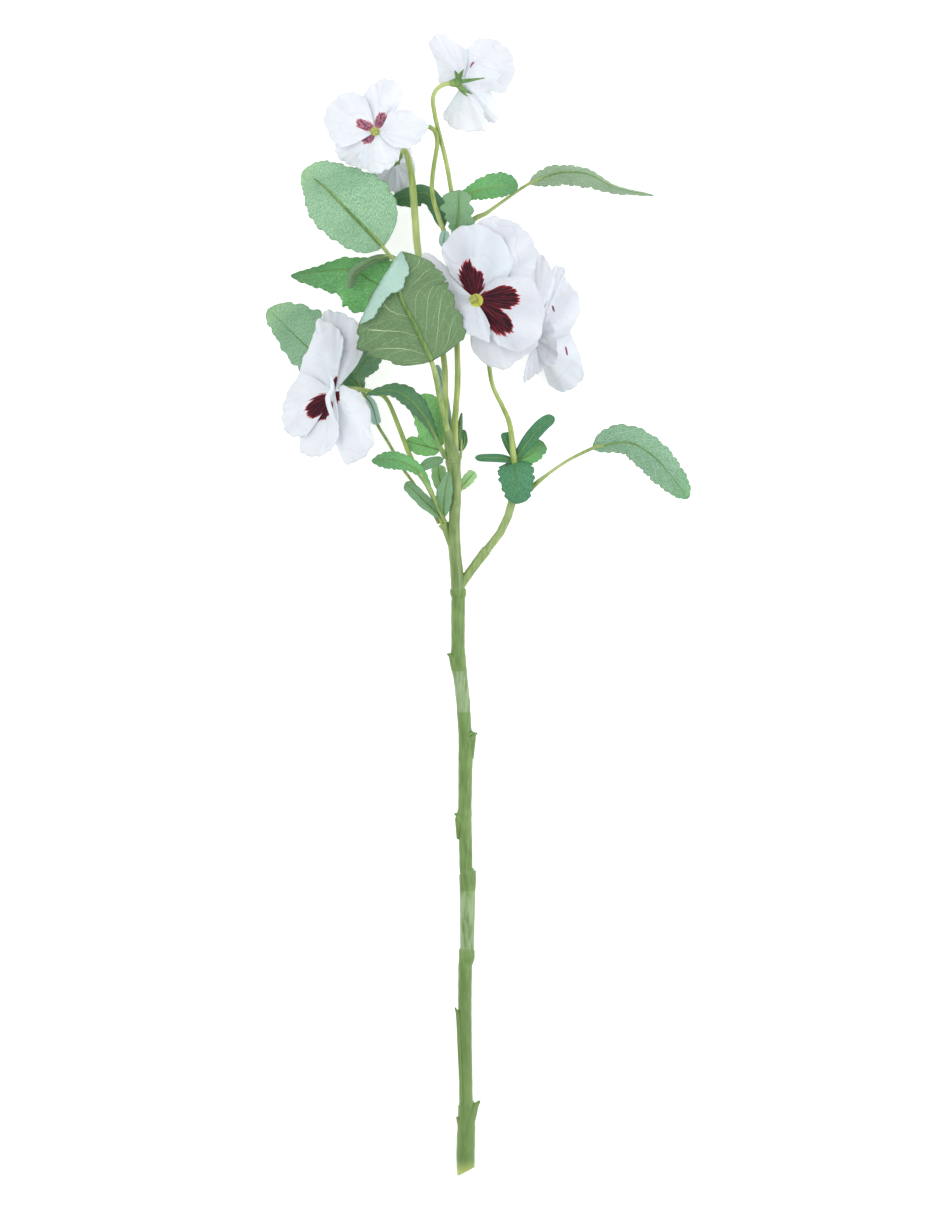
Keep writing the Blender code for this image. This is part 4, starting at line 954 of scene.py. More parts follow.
@dataclass
class Bloom:
    """A bloom: its petals, its throat, its calyx with five sepals, and its eye if it is open.

    sepals are the tips of its sepals from the heart, purple how far its marks turn from maroon to plum,
    calyx the size of its calyx, blaze the radius of the yellow round blaze_middle, crest the spine of a
    pale fold over its mark, and start the share of a petal that its throat hides.
    """

    name: str
    heart: Point
    facing: Point
    lean: tuple[float, float]
    cup: float
    ruffle: float
    eye: bool
    petals: tuple[Petal, ...]
    sepals: tuple[Point, ...] = ()
    blotches: tuple[Blotch, ...] = ()
    purple: float = 0.0
    calyx: float = 1.0
    blaze: float = 0.0
    blaze_middle: tuple[float, float] = (0.0, 0.0)
    crest: tuple[Point, ...] = ()
    start: float = 0.03

    def route(self, offsets: "tuple[Point | Vector, ...]") -> tuple[Point, ...]:
        """Turns offsets from the heart into places."""
        return tuple(tuple(Vector(self.heart) + Vector(offset)) for offset in offsets)

    @property
    def axis(self) -> Vector:
        """The way the bloom faces."""
        return Vector(self.facing).normalized()

    def turned(self, work: bmesh.types.BMesh, along: float = 0.0) -> bmesh.types.BMesh:
        """Turns work that is drawn round the z axis so that it faces the bloom's way at its heart.

        Args:
            work: The mesh work in metres.
            along: How far it is moved along the bloom's axis.

        Returns:
            The same work.
        """
        turn = Vector((0.0, 0.0, 1.0)).rotation_difference(self.axis).to_matrix()
        bmesh.ops.transform(work, matrix=turn.to_4x4(), verts=work.verts)
        place = (Vector(self.heart) + self.axis * along) * MM
        bmesh.ops.translate(work, vec=place, verts=work.verts)
        return work

    def petal_sheet(self, number: int) -> bmesh.types.BMesh:
        """Builds one petal as a sheet, with what its finish needs to know at each point.

        Args:
            number: Which petal, from 0.

        Returns:
            The mesh work in metres.
        """
        petal = self.petals[number]
        marks = [mark for mark in self.blotches if mark.petal == number]
        heart = Vector(self.heart)
        sink = heart - self.axis * 1.2
        work = grid(*PETAL_GRID)
        names = ("blotch", "blaze", "painted_shade", "purple")
        blotch, blaze, painted_shade, purple = [work.verts.layers.float.new(name) for name in names]
        for vertex in work.verts:
            u = (vertex.co.x + 1.0) / 2.0
            v = self.start + (1.0 - self.start) * (vertex.co.y + 1.0) / 2.0
            place = petal.spot(u, v, sink, self.lean, self.cup, self.ruffle)
            place.z = max(place.z, LOWEST)
            away = place - heart
            vertex[blotch] = max([mark.inside(away.x, away.y) for mark in marks], default=-1.0)
            off = math.hypot(away.x - self.blaze_middle[0], away.y - self.blaze_middle[1])
            if self.blaze:
                vertex[blaze] = 1.0 - step_up(off, 0.5 * self.blaze, 1.6 * self.blaze)
            # Painted shade: greyer towards the heart and in bands round the petal, like shade in its folds.
            fold = 0.5 + 0.5 * math.sin(math.tau * 3.0 * u + 2.0 * v)
            vertex[painted_shade] = petal.painted_shade * (0.45 + 0.55 * fold) * (1.0 - 0.5 * v)
            vertex[purple] = self.purple
            vertex.co = place * MM
        return work

    def sepal_spines(self) -> list[tuple[Vector, ...]]:
        """Spines of the five sepals, as offsets from the heart.

        Returns:
            Root, knee, middle and tip for each sepal.
        """
        side = self.axis.orthogonal().normalized()
        tips = [Vector(tip) for tip in self.sepals]
        if not tips:
            for k in range(5):
                turn = Matrix.Rotation(math.tau * k / 5 + 0.4, 3, self.axis)
                tips.append(turn @ side * 7.4 - self.axis * 6.6)
        spines = []
        for tip in tips:
            out = (tip - self.axis * tip.dot(self.axis)).normalized()
            knee = out * 3.0 - self.axis * 3.6
            spines.append((-self.axis * 5.8, knee, (knee + tip) / 2.0 + out * 0.4, tip))
        return spines

    def build(self) -> list[Node]:
        """Builds every piece of the bloom.

        Returns:
            The nodes that the pieces stand for.
        """
        cloth = Node(f"{self.name}_petals", "petal")
        for number in range(len(self.petals)):
            cloth.show(f"{number + 1}", self.petal_sheet(number), PETAL_CLOTH, thickness=PETAL_THICK)
        if self.crest:
            fold = Blade(self.route(self.crest), *CREST, lift=(-1.6, -1.6), wave=0.6, ends=0.04, quilt=0.0)
            cloth.show("crest", unmarked(fold.surface()), PETAL_CLOTH, thickness=PETAL_THICK)
        inner = tuple((0.0, 0.0, z, radius) for z, radius in THROAT)
        throat = Tube(inner, sides=20, rings=10, dome=0.2)
        cloth.show("throat", unmarked(self.turned(throat.mesh())), PETAL_CLOTH)
        green = Node(f"{self.name}_calyx", "calyx")
        outer = tuple((0.0, 0.0, z, radius * self.calyx) for z, radius in CONE)
        cone = Tube(outer, sides=20, rings=20, unevenness=0.04)
        green.show("cone", self.turned(cone.mesh()), CALYX)
        for k, spine in enumerate(self.sepal_spines(), 1):
            widths = tuple(self.calyx * width for width in SEPAL)
            sepal = Blade(self.route(spine), widths, widths, ends=0.02, quilt=0.0)
            green.show(f"sepal_{k}", sepal.surface(), CALYX, thickness=SEPAL_THICK)
        nodes = [cloth, green]
        if self.eye:
            yellow = Node(f"{self.name}_eye", "eye")
            knob = Knob(2.1, (1.0, 1.0, 0.6))
            yellow.show("knob", self.turned(knob.mesh(), 1.8), EYE_YELLOW)
            nodes.append(yellow)
        return nodes


@dataclass
class LowerStem:
    """The main stem, from its slanted cut end up to the fork, with its sleeves and pointed lips.

    low is how high its middle lies at the cut and rise how much that grows with each millimetre. stations
    hold x, y and radius, and lips x, y, the height over the stem's middle, and radius. No point of the
    stem lies past the cut, which meets (cut_x, cut_middle) and slants by cut_slant.
    """

    low: float = 3.9
    rise: float = 0.082
    cut_y: float = -286.0
    cut_x: float = -7.2
    cut_middle: float = -282.9
    cut_slant: float = 0.526
    stations: tuple[Point, ...] = (
        (-7, -286, 4.4), (-7.2, -276, 4.6), (-7, -264, 4.5), (-6.6, -249, 4.2), (-7, -247.5, 3.4),
        (-7.2, -229, 3.3), (-7.6, -202, 3.4), (-7.4, -179, 3.5), (-6.6, -175.5, 4), (-6.6, -172, 4),
        (-6.4, -171, 3.5), (-6.3, -150, 3.8), (-6.2, -133.5, 4.2), (-7, -131.5, 3.3), (-7.5, -107, 3.4),
        (-7.8, -104, 3.9), (-7.6, -101, 3.4), (-7.4, -87, 3.5), (-7, -68, 3.8), (-7.6, -61, 3.4),
        (-8.4, -48, 3.5), (-10, -34, 3.6), (-10.9, -25, 3.8), (-11, -20, 3.4), (-11, -6, 3.5),
        (-10.8, 4.4, 3.5), (-10.8, 5.6, 4.1), (-11, 8.4, 4.1), (-11, 9, 3.4),
    )
    lips: tuple[tuple[Station, ...], ...] = (
        ((-12, -37, 0.6, 0.9), (-12.4, -31, 0.9, 2.2), (-13, -27, 1.1, 2.4), (-14.6, -24.8, 1.3, 1.5),
            (-16.4, -24, 1.3, 0.4)),
        ((-3.9, -76, 0.4, 0.8), (-4.2, -70, 0.8, 1.8), (-4.2, -66.4, 1, 2.2), (-3.2, -64.4, 1.2, 1.6),
            (-1.7, -63.6, 1.2, 0.6)),
        ((-10.4, -68.6, 1.2, 0.4), (-8.6, -67.2, 3, 0.6), (-5.6, -64.4, 3.1, 0.7), (-3.8, -63.2, 2, 0.9)),
        ((-11, -116, 0.5, 0.8), (-10.6, -109, 1, 1.8), (-10.6, -106, 1.4, 2), (-11.4, -104.4, 1.4, 1.2),
            (-12.6, -103.8, 1.4, 0.5)),
        ((-3.4, -147, 0.5, 0.7), (-3.6, -139, 0.9, 1.6), (-3.4, -134.8, 1.1, 1.5), (-2.4, -132.6, 1.2, 0.5)),
        ((-8.5, -258, 3, 0.4), (-9.2, -245, 2.8, 0.8), (-10.1, -225, 2.2, 1), (-10.9, -205.6, 1.4, 1.1),
            (-12.4, -200.8, 0.9, 0.4)),
        ((-7.8, -271, 4.2, 0.5), (-6.2, -264, 3.9, 1.3), (-4, -256, 2.7, 1.9), (-2.4, -250.4, 1.6, 1.6),
            (-0.4, -247.6, 1.3, 0.7)),
        ((-8.6, -266, 4, 0.4), (-9.4, -261.6, 3.4, 1), (-10.4, -257.8, 2, 1.2), (-11.5, -255.6, 1.3, 0.5)),
    )

    def height(self, y: float) -> float:
        """How high the middle of the stem is at y."""
        return self.low + self.rise * (y - self.cut_y)

    def build(self) -> list[Node]:
        """Builds the stem and its lips.

        Returns:
            The node that they stand for.
        """
        node = Node("stem_lower", "stem")
        stations = tuple((x, y, self.height(y), radius) for x, y, radius in self.stations)
        work = Tube(stations, sides=32, rings=420, smooth=False, dome=0.0, unevenness=0.02).mesh()
        for vertex in work.verts:
            slanted = (self.cut_middle + self.cut_slant * (vertex.co.x / MM - self.cut_x)) * MM
            vertex.co.y = max(vertex.co.y, slanted)
            vertex.co.z = max(vertex.co.z, 0.0)
        node.show("shaft", work, STEM)
        for k, lip in enumerate(self.lips, 1):
            route = tuple((x, y, self.height(y) + up, radius) for x, y, up, radius in lip)
            node.show(f"lip_{k}", Tube(route, sides=14, rings=40, dome=0.8).mesh(), STEM)
        return [node]


@dataclass
class Fork:
    """The upper stem with its collars, and the branch on either side."""

    stem: tuple[Station, ...] = (
        (-11, 8, 28.6, 3.5), (-11.4, 15, 29.2, 3.4), (-12.2, 25, 30, 2.9), (-12.9, 40, 31.4, 2.8),
        (-12.5, 50.5, 32.2, 2.9), (-12.5, 51.5, 32.4, 3.2), (-12.3, 53, 32.5, 2.8), (-12.2, 63, 33.2, 2.9),
        (-13, 68, 33.8, 3.3), (-13.4, 72, 34.2, 3.9), (-13.4, 73.5, 34.3, 3.8),
    )
    right: tuple[Station, ...] = (
        (-10, 10, 28.4, 2.4), (-4.7, 17.4, 27.6, 2.3), (-1.1, 22.4, 27, 2.4), (3.1, 27.8, 26.4, 2.6),
        (3.9, 28.6, 26.3, 2.1), (10.1, 36.6, 25.6, 2.1), (14, 44.8, 25.2, 2.1), (16, 52, 25, 2.1),
        (17, 62, 25, 2.2), (16.6, 70.5, 25, 2.6),
    )
    left: tuple[Station, ...] = (
        (-12.8, 11, 29.4, 1.8), (-13.5, 20, 29.6, 1.6), (-14.5, 30, 29.6, 1.5), (-17, 38, 29.4, 1.9),
        (-18.2, 41, 29.3, 2.9),
    )
    cup: tuple[Station, ...] = (
        (-13.4, 72.6, 35, 3.9), (-13.4, 74.4, 35.6, 3.9), (-13.6, 76, 37.2, 3.3), (-14.4, 79.5, 38.9, 2.7),
        (-15.6, 84.5, 40.9, 2.2), (-16.4, 87.5, 42, 1.8),
    )

    def build(self) -> list[Node]:
        """Builds the fork.

        Returns:
            The node that it stands for.
        """
        node = Node("stem_fork", "stem")
        arms = (("upper", self.stem, FORK), ("right", self.right, BRANCH), ("left", self.left, BRANCH))
        for word, stations, finish in arms:
            tube = Tube(stations, sides=24, rings=140, smooth=False, dome=0.12, unevenness=0.02)
            node.show(word, tube.mesh(), finish)
        cup = Tube(self.cup, sides=24, rings=40, smooth=False, dome=0.1, unevenness=0.03)
        node.show("cup", cup.mesh(), FORK)
        return [node]


@dataclass
class Stalk:
    """A stalk on its own: the upper axis, or the stalk of one bloom."""

    name: str
    stations: tuple[Station, ...]
    sides: int = 14

    def build(self) -> list[Node]:
        """Builds the stalk.

        Returns:
            The node that it stands for.
        """
        node = Node(self.name, "stalk")
        tube = Tube(self.stations, sides=self.sides, rings=12 * len(self.stations), unevenness=0.025)
        node.show("shaft", tube.mesh(), STALK)
        return [node]


STALKS = (
    Stalk("stalk_axis", ((-12.4, 73.8, 32.6, 1.9), (-12.6, 90, 34, 1.7), (-12, 99, 35, 1.5),
            (-11.2, 111.5, 36, 1.5), (-11.4, 128, 36, 1.4), (-13, 153, 36, 1.3), (-14, 170, 36, 1.4),
            (-14.3, 178, 36, 2.2), (-14.4, 181.5, 36, 3.2))),
    Stalk("stalk_a", ((-13.2, 181.8, 37, 1.2), (-13.6, 200, 38.5, 1.1), (-14.8, 210, 40, 1.1),
            (-17, 222, 41.5, 1.1), (-19.2, 231, 42.5, 1.1), (-21.5, 240, 43.2, 1.1), (-23, 247.5, 43.6, 1.1),
            (-23.5, 253, 44, 1.1), (-22, 257.2, 44, 1.1), (-19, 259.6, 44, 1.2),
            (-15.75, 260.55, 43.2, 1.2))),
    Stalk("stalk_b", ((-16, 182.1, 37.2, 1.2), (-18.6, 188.5, 38.5, 1.2), (-21, 195, 40, 1.15),
            (-23.2, 202.5, 42, 1.1), (-24, 210, 43.5, 1.1), (-23, 219.5, 44.5, 1.1), (-21.4, 230.5, 45, 1.1),
            (-22.4, 236.5, 45, 1.2), (-25.8, 239, 44.6, 1.2), (-29.8, 237.6, 43.4, 1.1), (-35, 236, 41, 1.1),
            (-41, 236, 39, 1.1), (-46, 236, 38.8, 1.1), (-48.5, 236, 40.7, 1.1), (-49, 236, 43.2, 1.1))),
    Stalk("stalk_c", ((-16, 73.8, 34.6, 1.4), (-17, 88, 34.6, 1.4), (-17.2, 103, 34.4, 1.4),
            (-18, 122.5, 34, 1.5), (-22, 143, 34, 1.6), (-27, 163, 34, 1.7), (-30.8, 176, 34.6, 1.8),
            (-32.4, 193.5, 35.4, 1.8), (-33.2, 204.5, 35.8, 1.8), (-34.2, 215, 35.8, 1.7),
            (-35.4, 221, 35.8, 1.6), (-36.6, 225.6, 35, 1.5), (-38, 227.4, 33.2, 1.4),
            (-38.8, 226.4, 31.5, 1.2))),
    Stalk("stalk_d", ((-9.4, 133, 36.4, 1.2), (-7, 139, 36.6, 1.2), (-3, 146, 38, 1.1), (0.5, 151, 41, 1.1),
            (1.6, 153.2, 45.5, 1.1), (0.5, 153.6, 51, 1.1), (-0.17, 153.47, 53.1, 1.1))),
    Stalk("stalk_e", ((16.4, 70.6, 26, 1.7), (16.9, 72.4, 30.6, 1.7), (16.4, 78, 32, 1.5),
            (15.6, 86, 30.2, 1.4), (14.2, 93, 26.4, 1.3), (11, 100, 24.4, 1.15), (6.5, 109.5, 24, 1.1),
            (4.6, 119.5, 23.4, 1.1), (4.2, 129, 23, 1.1), (7.5, 137, 23, 1.1), (13.5, 139.4, 23.4, 1.1),
            (19.2, 136.6, 24, 1.3))),
    Stalk("stalk_f", ((-18.6, 41.3, 29.6, 1.3), (-24.6, 57, 29.6, 1.3), (-34, 73, 30, 1.25),
            (-40, 88, 30.6, 1.2), (-44.6, 99.5, 31.2, 1.1), (-48, 104.6, 31.4, 1.1),
            (-53.5, 106.8, 30.4, 1.1), (-60.5, 108.2, 28.4, 1.1), (-66.6, 108.8, 26.8, 1.1),
            (-69.1, 108.6, 27.6, 1.2), (-69.5, 108.4, 29.2, 1.2))),
)


LEAVES = (
    Leaf("leaf_front", "leaf_dark", ((-13.4, 73.8, 37, 2.4), (-14.6, 80, 39, 2), (-17, 90, 43, 1.6),
            (-20, 103, 50, 1.3), (-23, 118, 58, 1.3), (-27.5, 130, 63.6, 0.9)), (
            Blade(((-24, 122, 61), (-32, 139, 67), (-39.5, 154, 71), (-40.5, 166, 72), (-39, 176.5, 70)),
                (10, 20.5, 28.9, 29, 18.4, 10.4, 5.4, 2.6, 0.5),
                (18.8, 22.4, 22.8, 24, 24, 23.2, 22.5, 19, 12), ends=0.08, lift=(-4, 0), teeth=8, bite=0.09,
                wave=0.6, look="front", under="dark", crenate=22, notch=0.8, rib=1.3, rib_end=0.74,
                rib_taper=0.4, pairs=6, sweep=0.6),
            Blade(((-60, 140.5, 68.8), (-50, 158.5, 72.4), (-39.2, 176.5, 70.6)), (0.6, 1, 1, 0.6),
                (1.5, 5, 5, 9, 9, 3), lift=(0, 3.6), teeth=4, bite=0.2, look="mint", under="front",
                crenate=12, rib=0))),
    Leaf("leaf_upper_left", "leaf_pale", ((-15.2, 151.3, 36.9, 1.1), (-27.5, 158.5, 39, 1),
            (-42, 171.5, 43, 0.95), (-50.5, 181.5, 44.8, 1), (-56, 187.5, 45.1, 0.7)), (
            Blade(((-48.4, 179, 44.5), (-64.2, 195.4, 45), (-78.2, 209.6, 39), (-88.4, 217, 32)),
                (9, 13.2, 16, 16.4, 13.2, 8.5, 5), (13, 20.2, 23.5, 20, 14.5, 10.3, 6), lift=(-2, -4),
                teeth=8, bite=0.07, wave=0.6, look="flecked", crenate=16, rib=0.95, rib_end=0.8,
                rib_taper=0.55),)),
    Leaf("leaf_left", "leaf_mid", ((-13.4, 137.6, 34.3, 1.1), (-19, 141, 30.4, 1), (-28, 146, 29.8, 1),
            (-40, 153, 32.1, 0.9), (-46, 157, 31.5, 0.6)), (
            Blade(((-38, 152, 32.5), (-50.5, 160, 31), (-65, 167.5, 29), (-80, 167, 26), (-94.5, 165, 21)),
                (10, 15.5, 18, 13.2, 7.8, 2.8), (13, 16, 9.2, 5.4, 2.4, 1.3), lift=(-3, 2.5), teeth=8,
                bite=0.12, wave=1, look="bright", crenate=16),)),
    Leaf("leaf_curled", "leaf_mid", ((-15.6, 160, 36.2, 0.9), (-30, 167, 37.5, 0.8), (-44, 174.5, 39.8, 0.8),
            (-48, 174.2, 40.4, 0.6)), (
            Blade(((-43, 174.3, 39.6), (-51, 173.5, 41), (-57.5, 170.5, 41), (-63, 166, 39),
                    (-65, 158.5, 35.5)), (1, 1.7, 2.1, 2.3, 2.1), (1, 1.7, 2, 2.2, 2), lift=(-2, -2.2),
                look="grey"),)),
    Leaf("sprig_left", "leaf_dark", ((-20.6, 41.3, 28.4, 0.9), (-25.4, 50, 27.2, 0.8), (-33, 61, 26, 0.8),
            (-39.5, 70, 24, 0.8), (-44, 78.5, 21, 0.8), (-51.5, 91, 17, 0.8), (-55, 98.5, 14, 0.8),
            (-59, 108, 9, 1.2), (-64, 110.5, 4.6, 1), (-72, 115.5, 0.9, 0.9)), (
            Blade(((-66.5, 111, 0.3), (-87, 130, 0.3), (-106, 148.5, 0.3)), (5, 9.5, 11.2, 10, 7, 5),
                (6, 14, 17.5, 17.5, 13.5, 7), teeth=7, bite=0.12, flat=True, look="flecked", crenate=12,
                rib=0.5),
            Blade(((-59, 107.5, 9), (-61.5, 115, 13), (-57, 123, 16), (-51.5, 130, 18)), (2, 4.5, 5.5, 3.5),
                (2, 5, 7.5, 5), lift=(-1.5, -2), teeth=4, look="mid", crenate=7),
            Blade(((-59, 107.5, 9), (-63.5, 112, 12), (-68.5, 115.5, 13.5)), (2.5, 4, 3), (2, 3.5, 2.5)),
            Blade(((-58, 105.5, 10), (-54.5, 101, 17.5), (-52.5, 95.5, 20), (-51.6, 90.5, 20.5)),
                (1.5, 2.4, 2.2, 2.6), (1.5, 2, 2, 2.6), lift=(-2, -2), look="mint"))),
    Leaf("leaf_arched", "leaf_dark", ((-16.6, 73.8, 37, 1), (-20, 80, 39.6, 0.9), (-26, 92, 45, 0.7)), (
            Blade(((-21, 82, 40.5), (-26, 92, 45), (-34.5, 102.5, 51), (-44, 107.5, 51), (-57, 105.5, 46)),
                (1.2, 2.2, 4, 4, 2.6, 1), (1.2, 2.4, 5, 5.2, 3, 1), lift=(-3, -4), teeth=6, crenate=12),),
        petiole=RIB),
    Leaf("leaf_bright", "leaf_mid", ((-17.8, 73.8, 33.2, 0.8), (-20.5, 80, 31.8, 0.8), (-23, 88, 30.6, 0.6)),
        (
            Blade(((-20, 78.5, 32), (-23, 88, 30.6), (-26.5, 98, 30.2), (-28, 106, 30)), (3, 8, 8, 7.5, 5),
                (2.5, 4.6, 7, 7.5, 5), lift=(-2, 0), teeth=5, look="vivid", crenate=9),
            Blade(((-20, 78, 32), (-28, 80, 28.4), (-37, 82.5, 27)), (2.5, 4.6, 5, 3), (2.5, 3.4, 3.6, 2.4),
                teeth=4, look="vivid"))),
    Leaf("leaf_strip", "leaf_mint", ((-15, 73.8, 30.9, 0.6), (-15.3, 80, 30.4, 0.6), (-15.6, 86, 30.4, 0.5)),
        (
            Blade(((-15.2, 80, 30.4), (-16, 95.5, 30.4), (-19, 110.5, 29.6), (-21.5, 120.5, 28.4)),
                (1, 2.2, 2.6, 2.4), (1, 1.6, 1.8, 1.6), lift=(-3, 0)),)),
    Leaf("leaf_pointed", "leaf_dark", ((-9.6, 73.8, 33, 0.6), (-9.4, 78, 32.1, 0.6), (-9.3, 83, 31.2, 0.5)), (
            Blade(((-9.6, 77, 32.1), (-10.2, 86, 29.2), (-9.2, 96.5, 27.6)), (1, 1.8, 1.4, 0.3),
                (0.9, 1.6, 1.2, 0.3), lift=(-1.6, -1.6), ends=0.04),
            Blade(((-9.4, 77.4, 32), (-7.8, 82, 28.4), (-8.4, 88, 26)), (0.9, 2.2, 1.6), (0.9, 1.6, 1.4)))),
    Leaf("sprig_collar", "leaf_mint", ((-17.2, 41.9, 31.6, 1), (-20.6, 48.5, 35.7, 0.9),
            (-24.4, 57, 41.4, 0.9), (-30, 66.2, 47.2, 0.7)), (
            Blade(((-18.2, 43.8, 33), (-24.4, 57, 41.4), (-30.5, 67, 47.4), (-38, 71.6, 50.4),
                    (-46, 73.2, 49), (-54, 72.4, 44)), (0.3, 0.6, 1.6, 3.2, 4.6, 4.6, 2.5),
                (0.3, 0.8, 2.4, 3.6, 4.2, 3.6, 1.5), lift=(-1.6, -1.6), teeth=8, look="bright", under="mint",
                crenate=14),
            Blade(((-18.2, 43.8, 33), (-17.6, 55, 38), (-15.4, 67.5, 41.5)), (1.2, 4.2, 4, 1),
                (1.2, 3.4, 3.4, 0.8), teeth=4, look="sage"),
            Blade(((-18.8, 43.5, 32.2), (-26.4, 51, 34.2), (-33, 57.6, 34.8), (-37.4, 61.5, 34)),
                (1.2, 3.4, 3.4, 2.6), (1.2, 3, 3, 2.2), teeth=4, look="sage"),
            Blade(((-30.2, 67.6, 46.6), (-25.6, 71.4, 43.6), (-18.4, 73.2, 39)), (1.4, 2.4, 1.6),
                (1.4, 3, 1.8), lift=(-0.8, -0.8), look="mid"))),
    Leaf("leaf_behind_stem", "leaf_mid", ((-15, 49.6, 29.4, 0.8), (-18, 56, 26.7, 0.8),
            (-19, 59.5, 26.2, 0.6)), (
            Blade(((-17.2, 54, 27), (-20, 63, 25.8), (-21, 70.5, 25.4)), (1.6, 3.8, 3.2), (1.6, 4, 3.2),
                teeth=4, look="pale"),)),
    Leaf("leaf_small_right", "leaf_mid", ((-10.4, 56.6, 29.4, 0.8), (-7.6, 60.9, 28.3, 0.6)), (
            Blade(((-9.4, 58.2, 28.8), (-6.5, 62.5, 28), (-2.6, 67, 27.4)), (1.2, 2.8, 2.6), (1.2, 2.8, 2.4),
                teeth=4, look="pale"),)),
    Leaf("leaf_top_mint", "leaf_mint", ((-12.6, 181.8, 39.2, 0.9), (-11.6, 188, 41.4, 0.8),
            (-11.2, 192, 42.4, 0.6)), (
            Blade(((-12, 186, 40.6), (-10.8, 195, 43), (-10.4, 207.5, 43)), (2.5, 5.5, 8.5, 6),
                (3, 7.5, 6.5, 5), lift=(0, -2), teeth=4, bite=0.36, look="sage", rib=0.9),)),
    Leaf("leaf_top_dark", "leaf_dark", ((-17.2, 181.8, 34.8, 0.9), (-19.4, 192, 32.2, 0.7)), (
            Blade(((-18.4, 188, 33), (-21.5, 199.5, 30.4), (-27.5, 206, 29), (-36, 205, 28),
                    (-44.5, 202.5, 26)), (2, 4, 4.5, 6.5, 5.5, 2.5), (2, 4.5, 4, 4, 3.5, 2), lift=(-2, -2),
                teeth=6),)),
    Leaf("leaf_top_small", "leaf_mint", ((-16.7, 177.8, 38, 0.8), (-17.9, 180.8, 40.3, 0.6)), (
            Blade(((-17.4, 178.4, 39.2), (-18, 182, 40.6), (-17.4, 187.4, 41.2)), (1, 2.6, 2),
                (1, 2.6, 2.2)),)),
    Leaf("leaf_top_right", "leaf_mid", ((-11.6, 181.8, 34.4, 1), (-11.4, 194, 35, 0.9),
            (-10, 203.8, 36.4, 0.8), (-4, 206.4, 37.6, 0.6)), (
            Blade(((-10.6, 204.3, 36.2), (-2.5, 206.9, 38), (8.5, 209.3, 39), (19, 209.8, 37)),
                (1.2, 3.6, 6.4, 6.9, 4.2), (1.8, 3.8, 5.4, 5.5, 3.4), lift=(-1, -2), teeth=6, look="bright",
                crenate=12),)),
    Leaf("leaf_far_right", "leaf_pale", ((-14.6, 182.2, 33, 1.1), (-12, 185.2, 31.2, 1.2),
            (-3, 193, 30.8, 1.4), (3, 196, 30.6, 1.1), (8, 199.5, 30, 0.9), (20, 208, 30, 0.8),
            (25, 211, 30.2, 0.8), (31, 213.7, 31.4, 0.7)), (
            Blade(((24.5, 210.8, 30), (39, 216, 33), (53.5, 215.6, 35), (68, 208.6, 33), (86.8, 204.9, 25)),
                (3.2, 4.6, 3.6, 2.6, 1.5, 1, 0.7), (2, 5.5, 6.5, 7, 4.5, 2, 0.7), lift=(-2, -6), teeth=7,
                bite=0.12, look="dusty", crenate=16),)),
    Leaf("leaf_long_right", "leaf_mid", ((19.5, 52.4, 26.4, 1.2), (21.8, 55, 27.6, 1.5), (25, 58.5, 29, 1.5),
            (33.5, 65.5, 34, 0.9), (44.5, 73, 40, 0.8), (57, 79, 44.8, 0.9), (62, 80, 46.4, 0.7)), (
            Blade(((56, 78.7, 44.5), (73.5, 81.5, 49.5), (86, 75, 49), (95.2, 65, 44.5), (104, 53.8, 37)),
                (6.5, 9, 8.5, 8.2, 7.4, 6.2, 4), (3, 5, 8, 9, 9, 6.8, 4.2), lift=(-3, -3), teeth=8, bite=0.09,
                wave=0.6, look="painted_sheen", crenate=18),)),
    Leaf("sprig_right", "leaf_dark", ((17.6, 70.8, 27.6, 0.9), (17.6, 73.2, 29.6, 0.9)), (
            Blade(((17.4, 72.6, 29), (17.8, 69, 33.2), (18.4, 61, 35.6), (18.6, 51, 33.6)),
                (2.5, 8, 9, 8, 5.5), (2.5, 8, 9, 7.5, 5), lift=(-1.6, -1.6), teeth=6, bite=0.12, look="whorl",
                crenate=10),
            Blade(((17.4, 72.2, 29.4), (10, 73.8, 30.4), (-2.5, 74, 28.6)), (1, 2, 1.6), (1, 2, 1.6),
                lift=(2.6, -1), look="whorl"),
            Blade(((17.4, 73, 29.4), (24, 82, 31.6), (31, 90, 33), (37, 94.5, 32)), (1.6, 3.4, 3.6, 2.6),
                (1.6, 2.9, 3.1, 2.4), lift=(-1, -1), look="whorl"),
            Blade(((17.9, 72.3, 28.7), (25, 75.5, 27.2), (31.5, 82, 26)), (1.6, 4.5, 4), (1.6, 5, 4.5),
                teeth=4, look="bright", crenate=7),
            Blade(((17.3, 72.6, 28.9), (13.6, 80.5, 28.8), (11.2, 86.4, 28)), (1, 1.6, 1.4), (1.6, 4.2, 3.4),
                look="whorl"))),
)

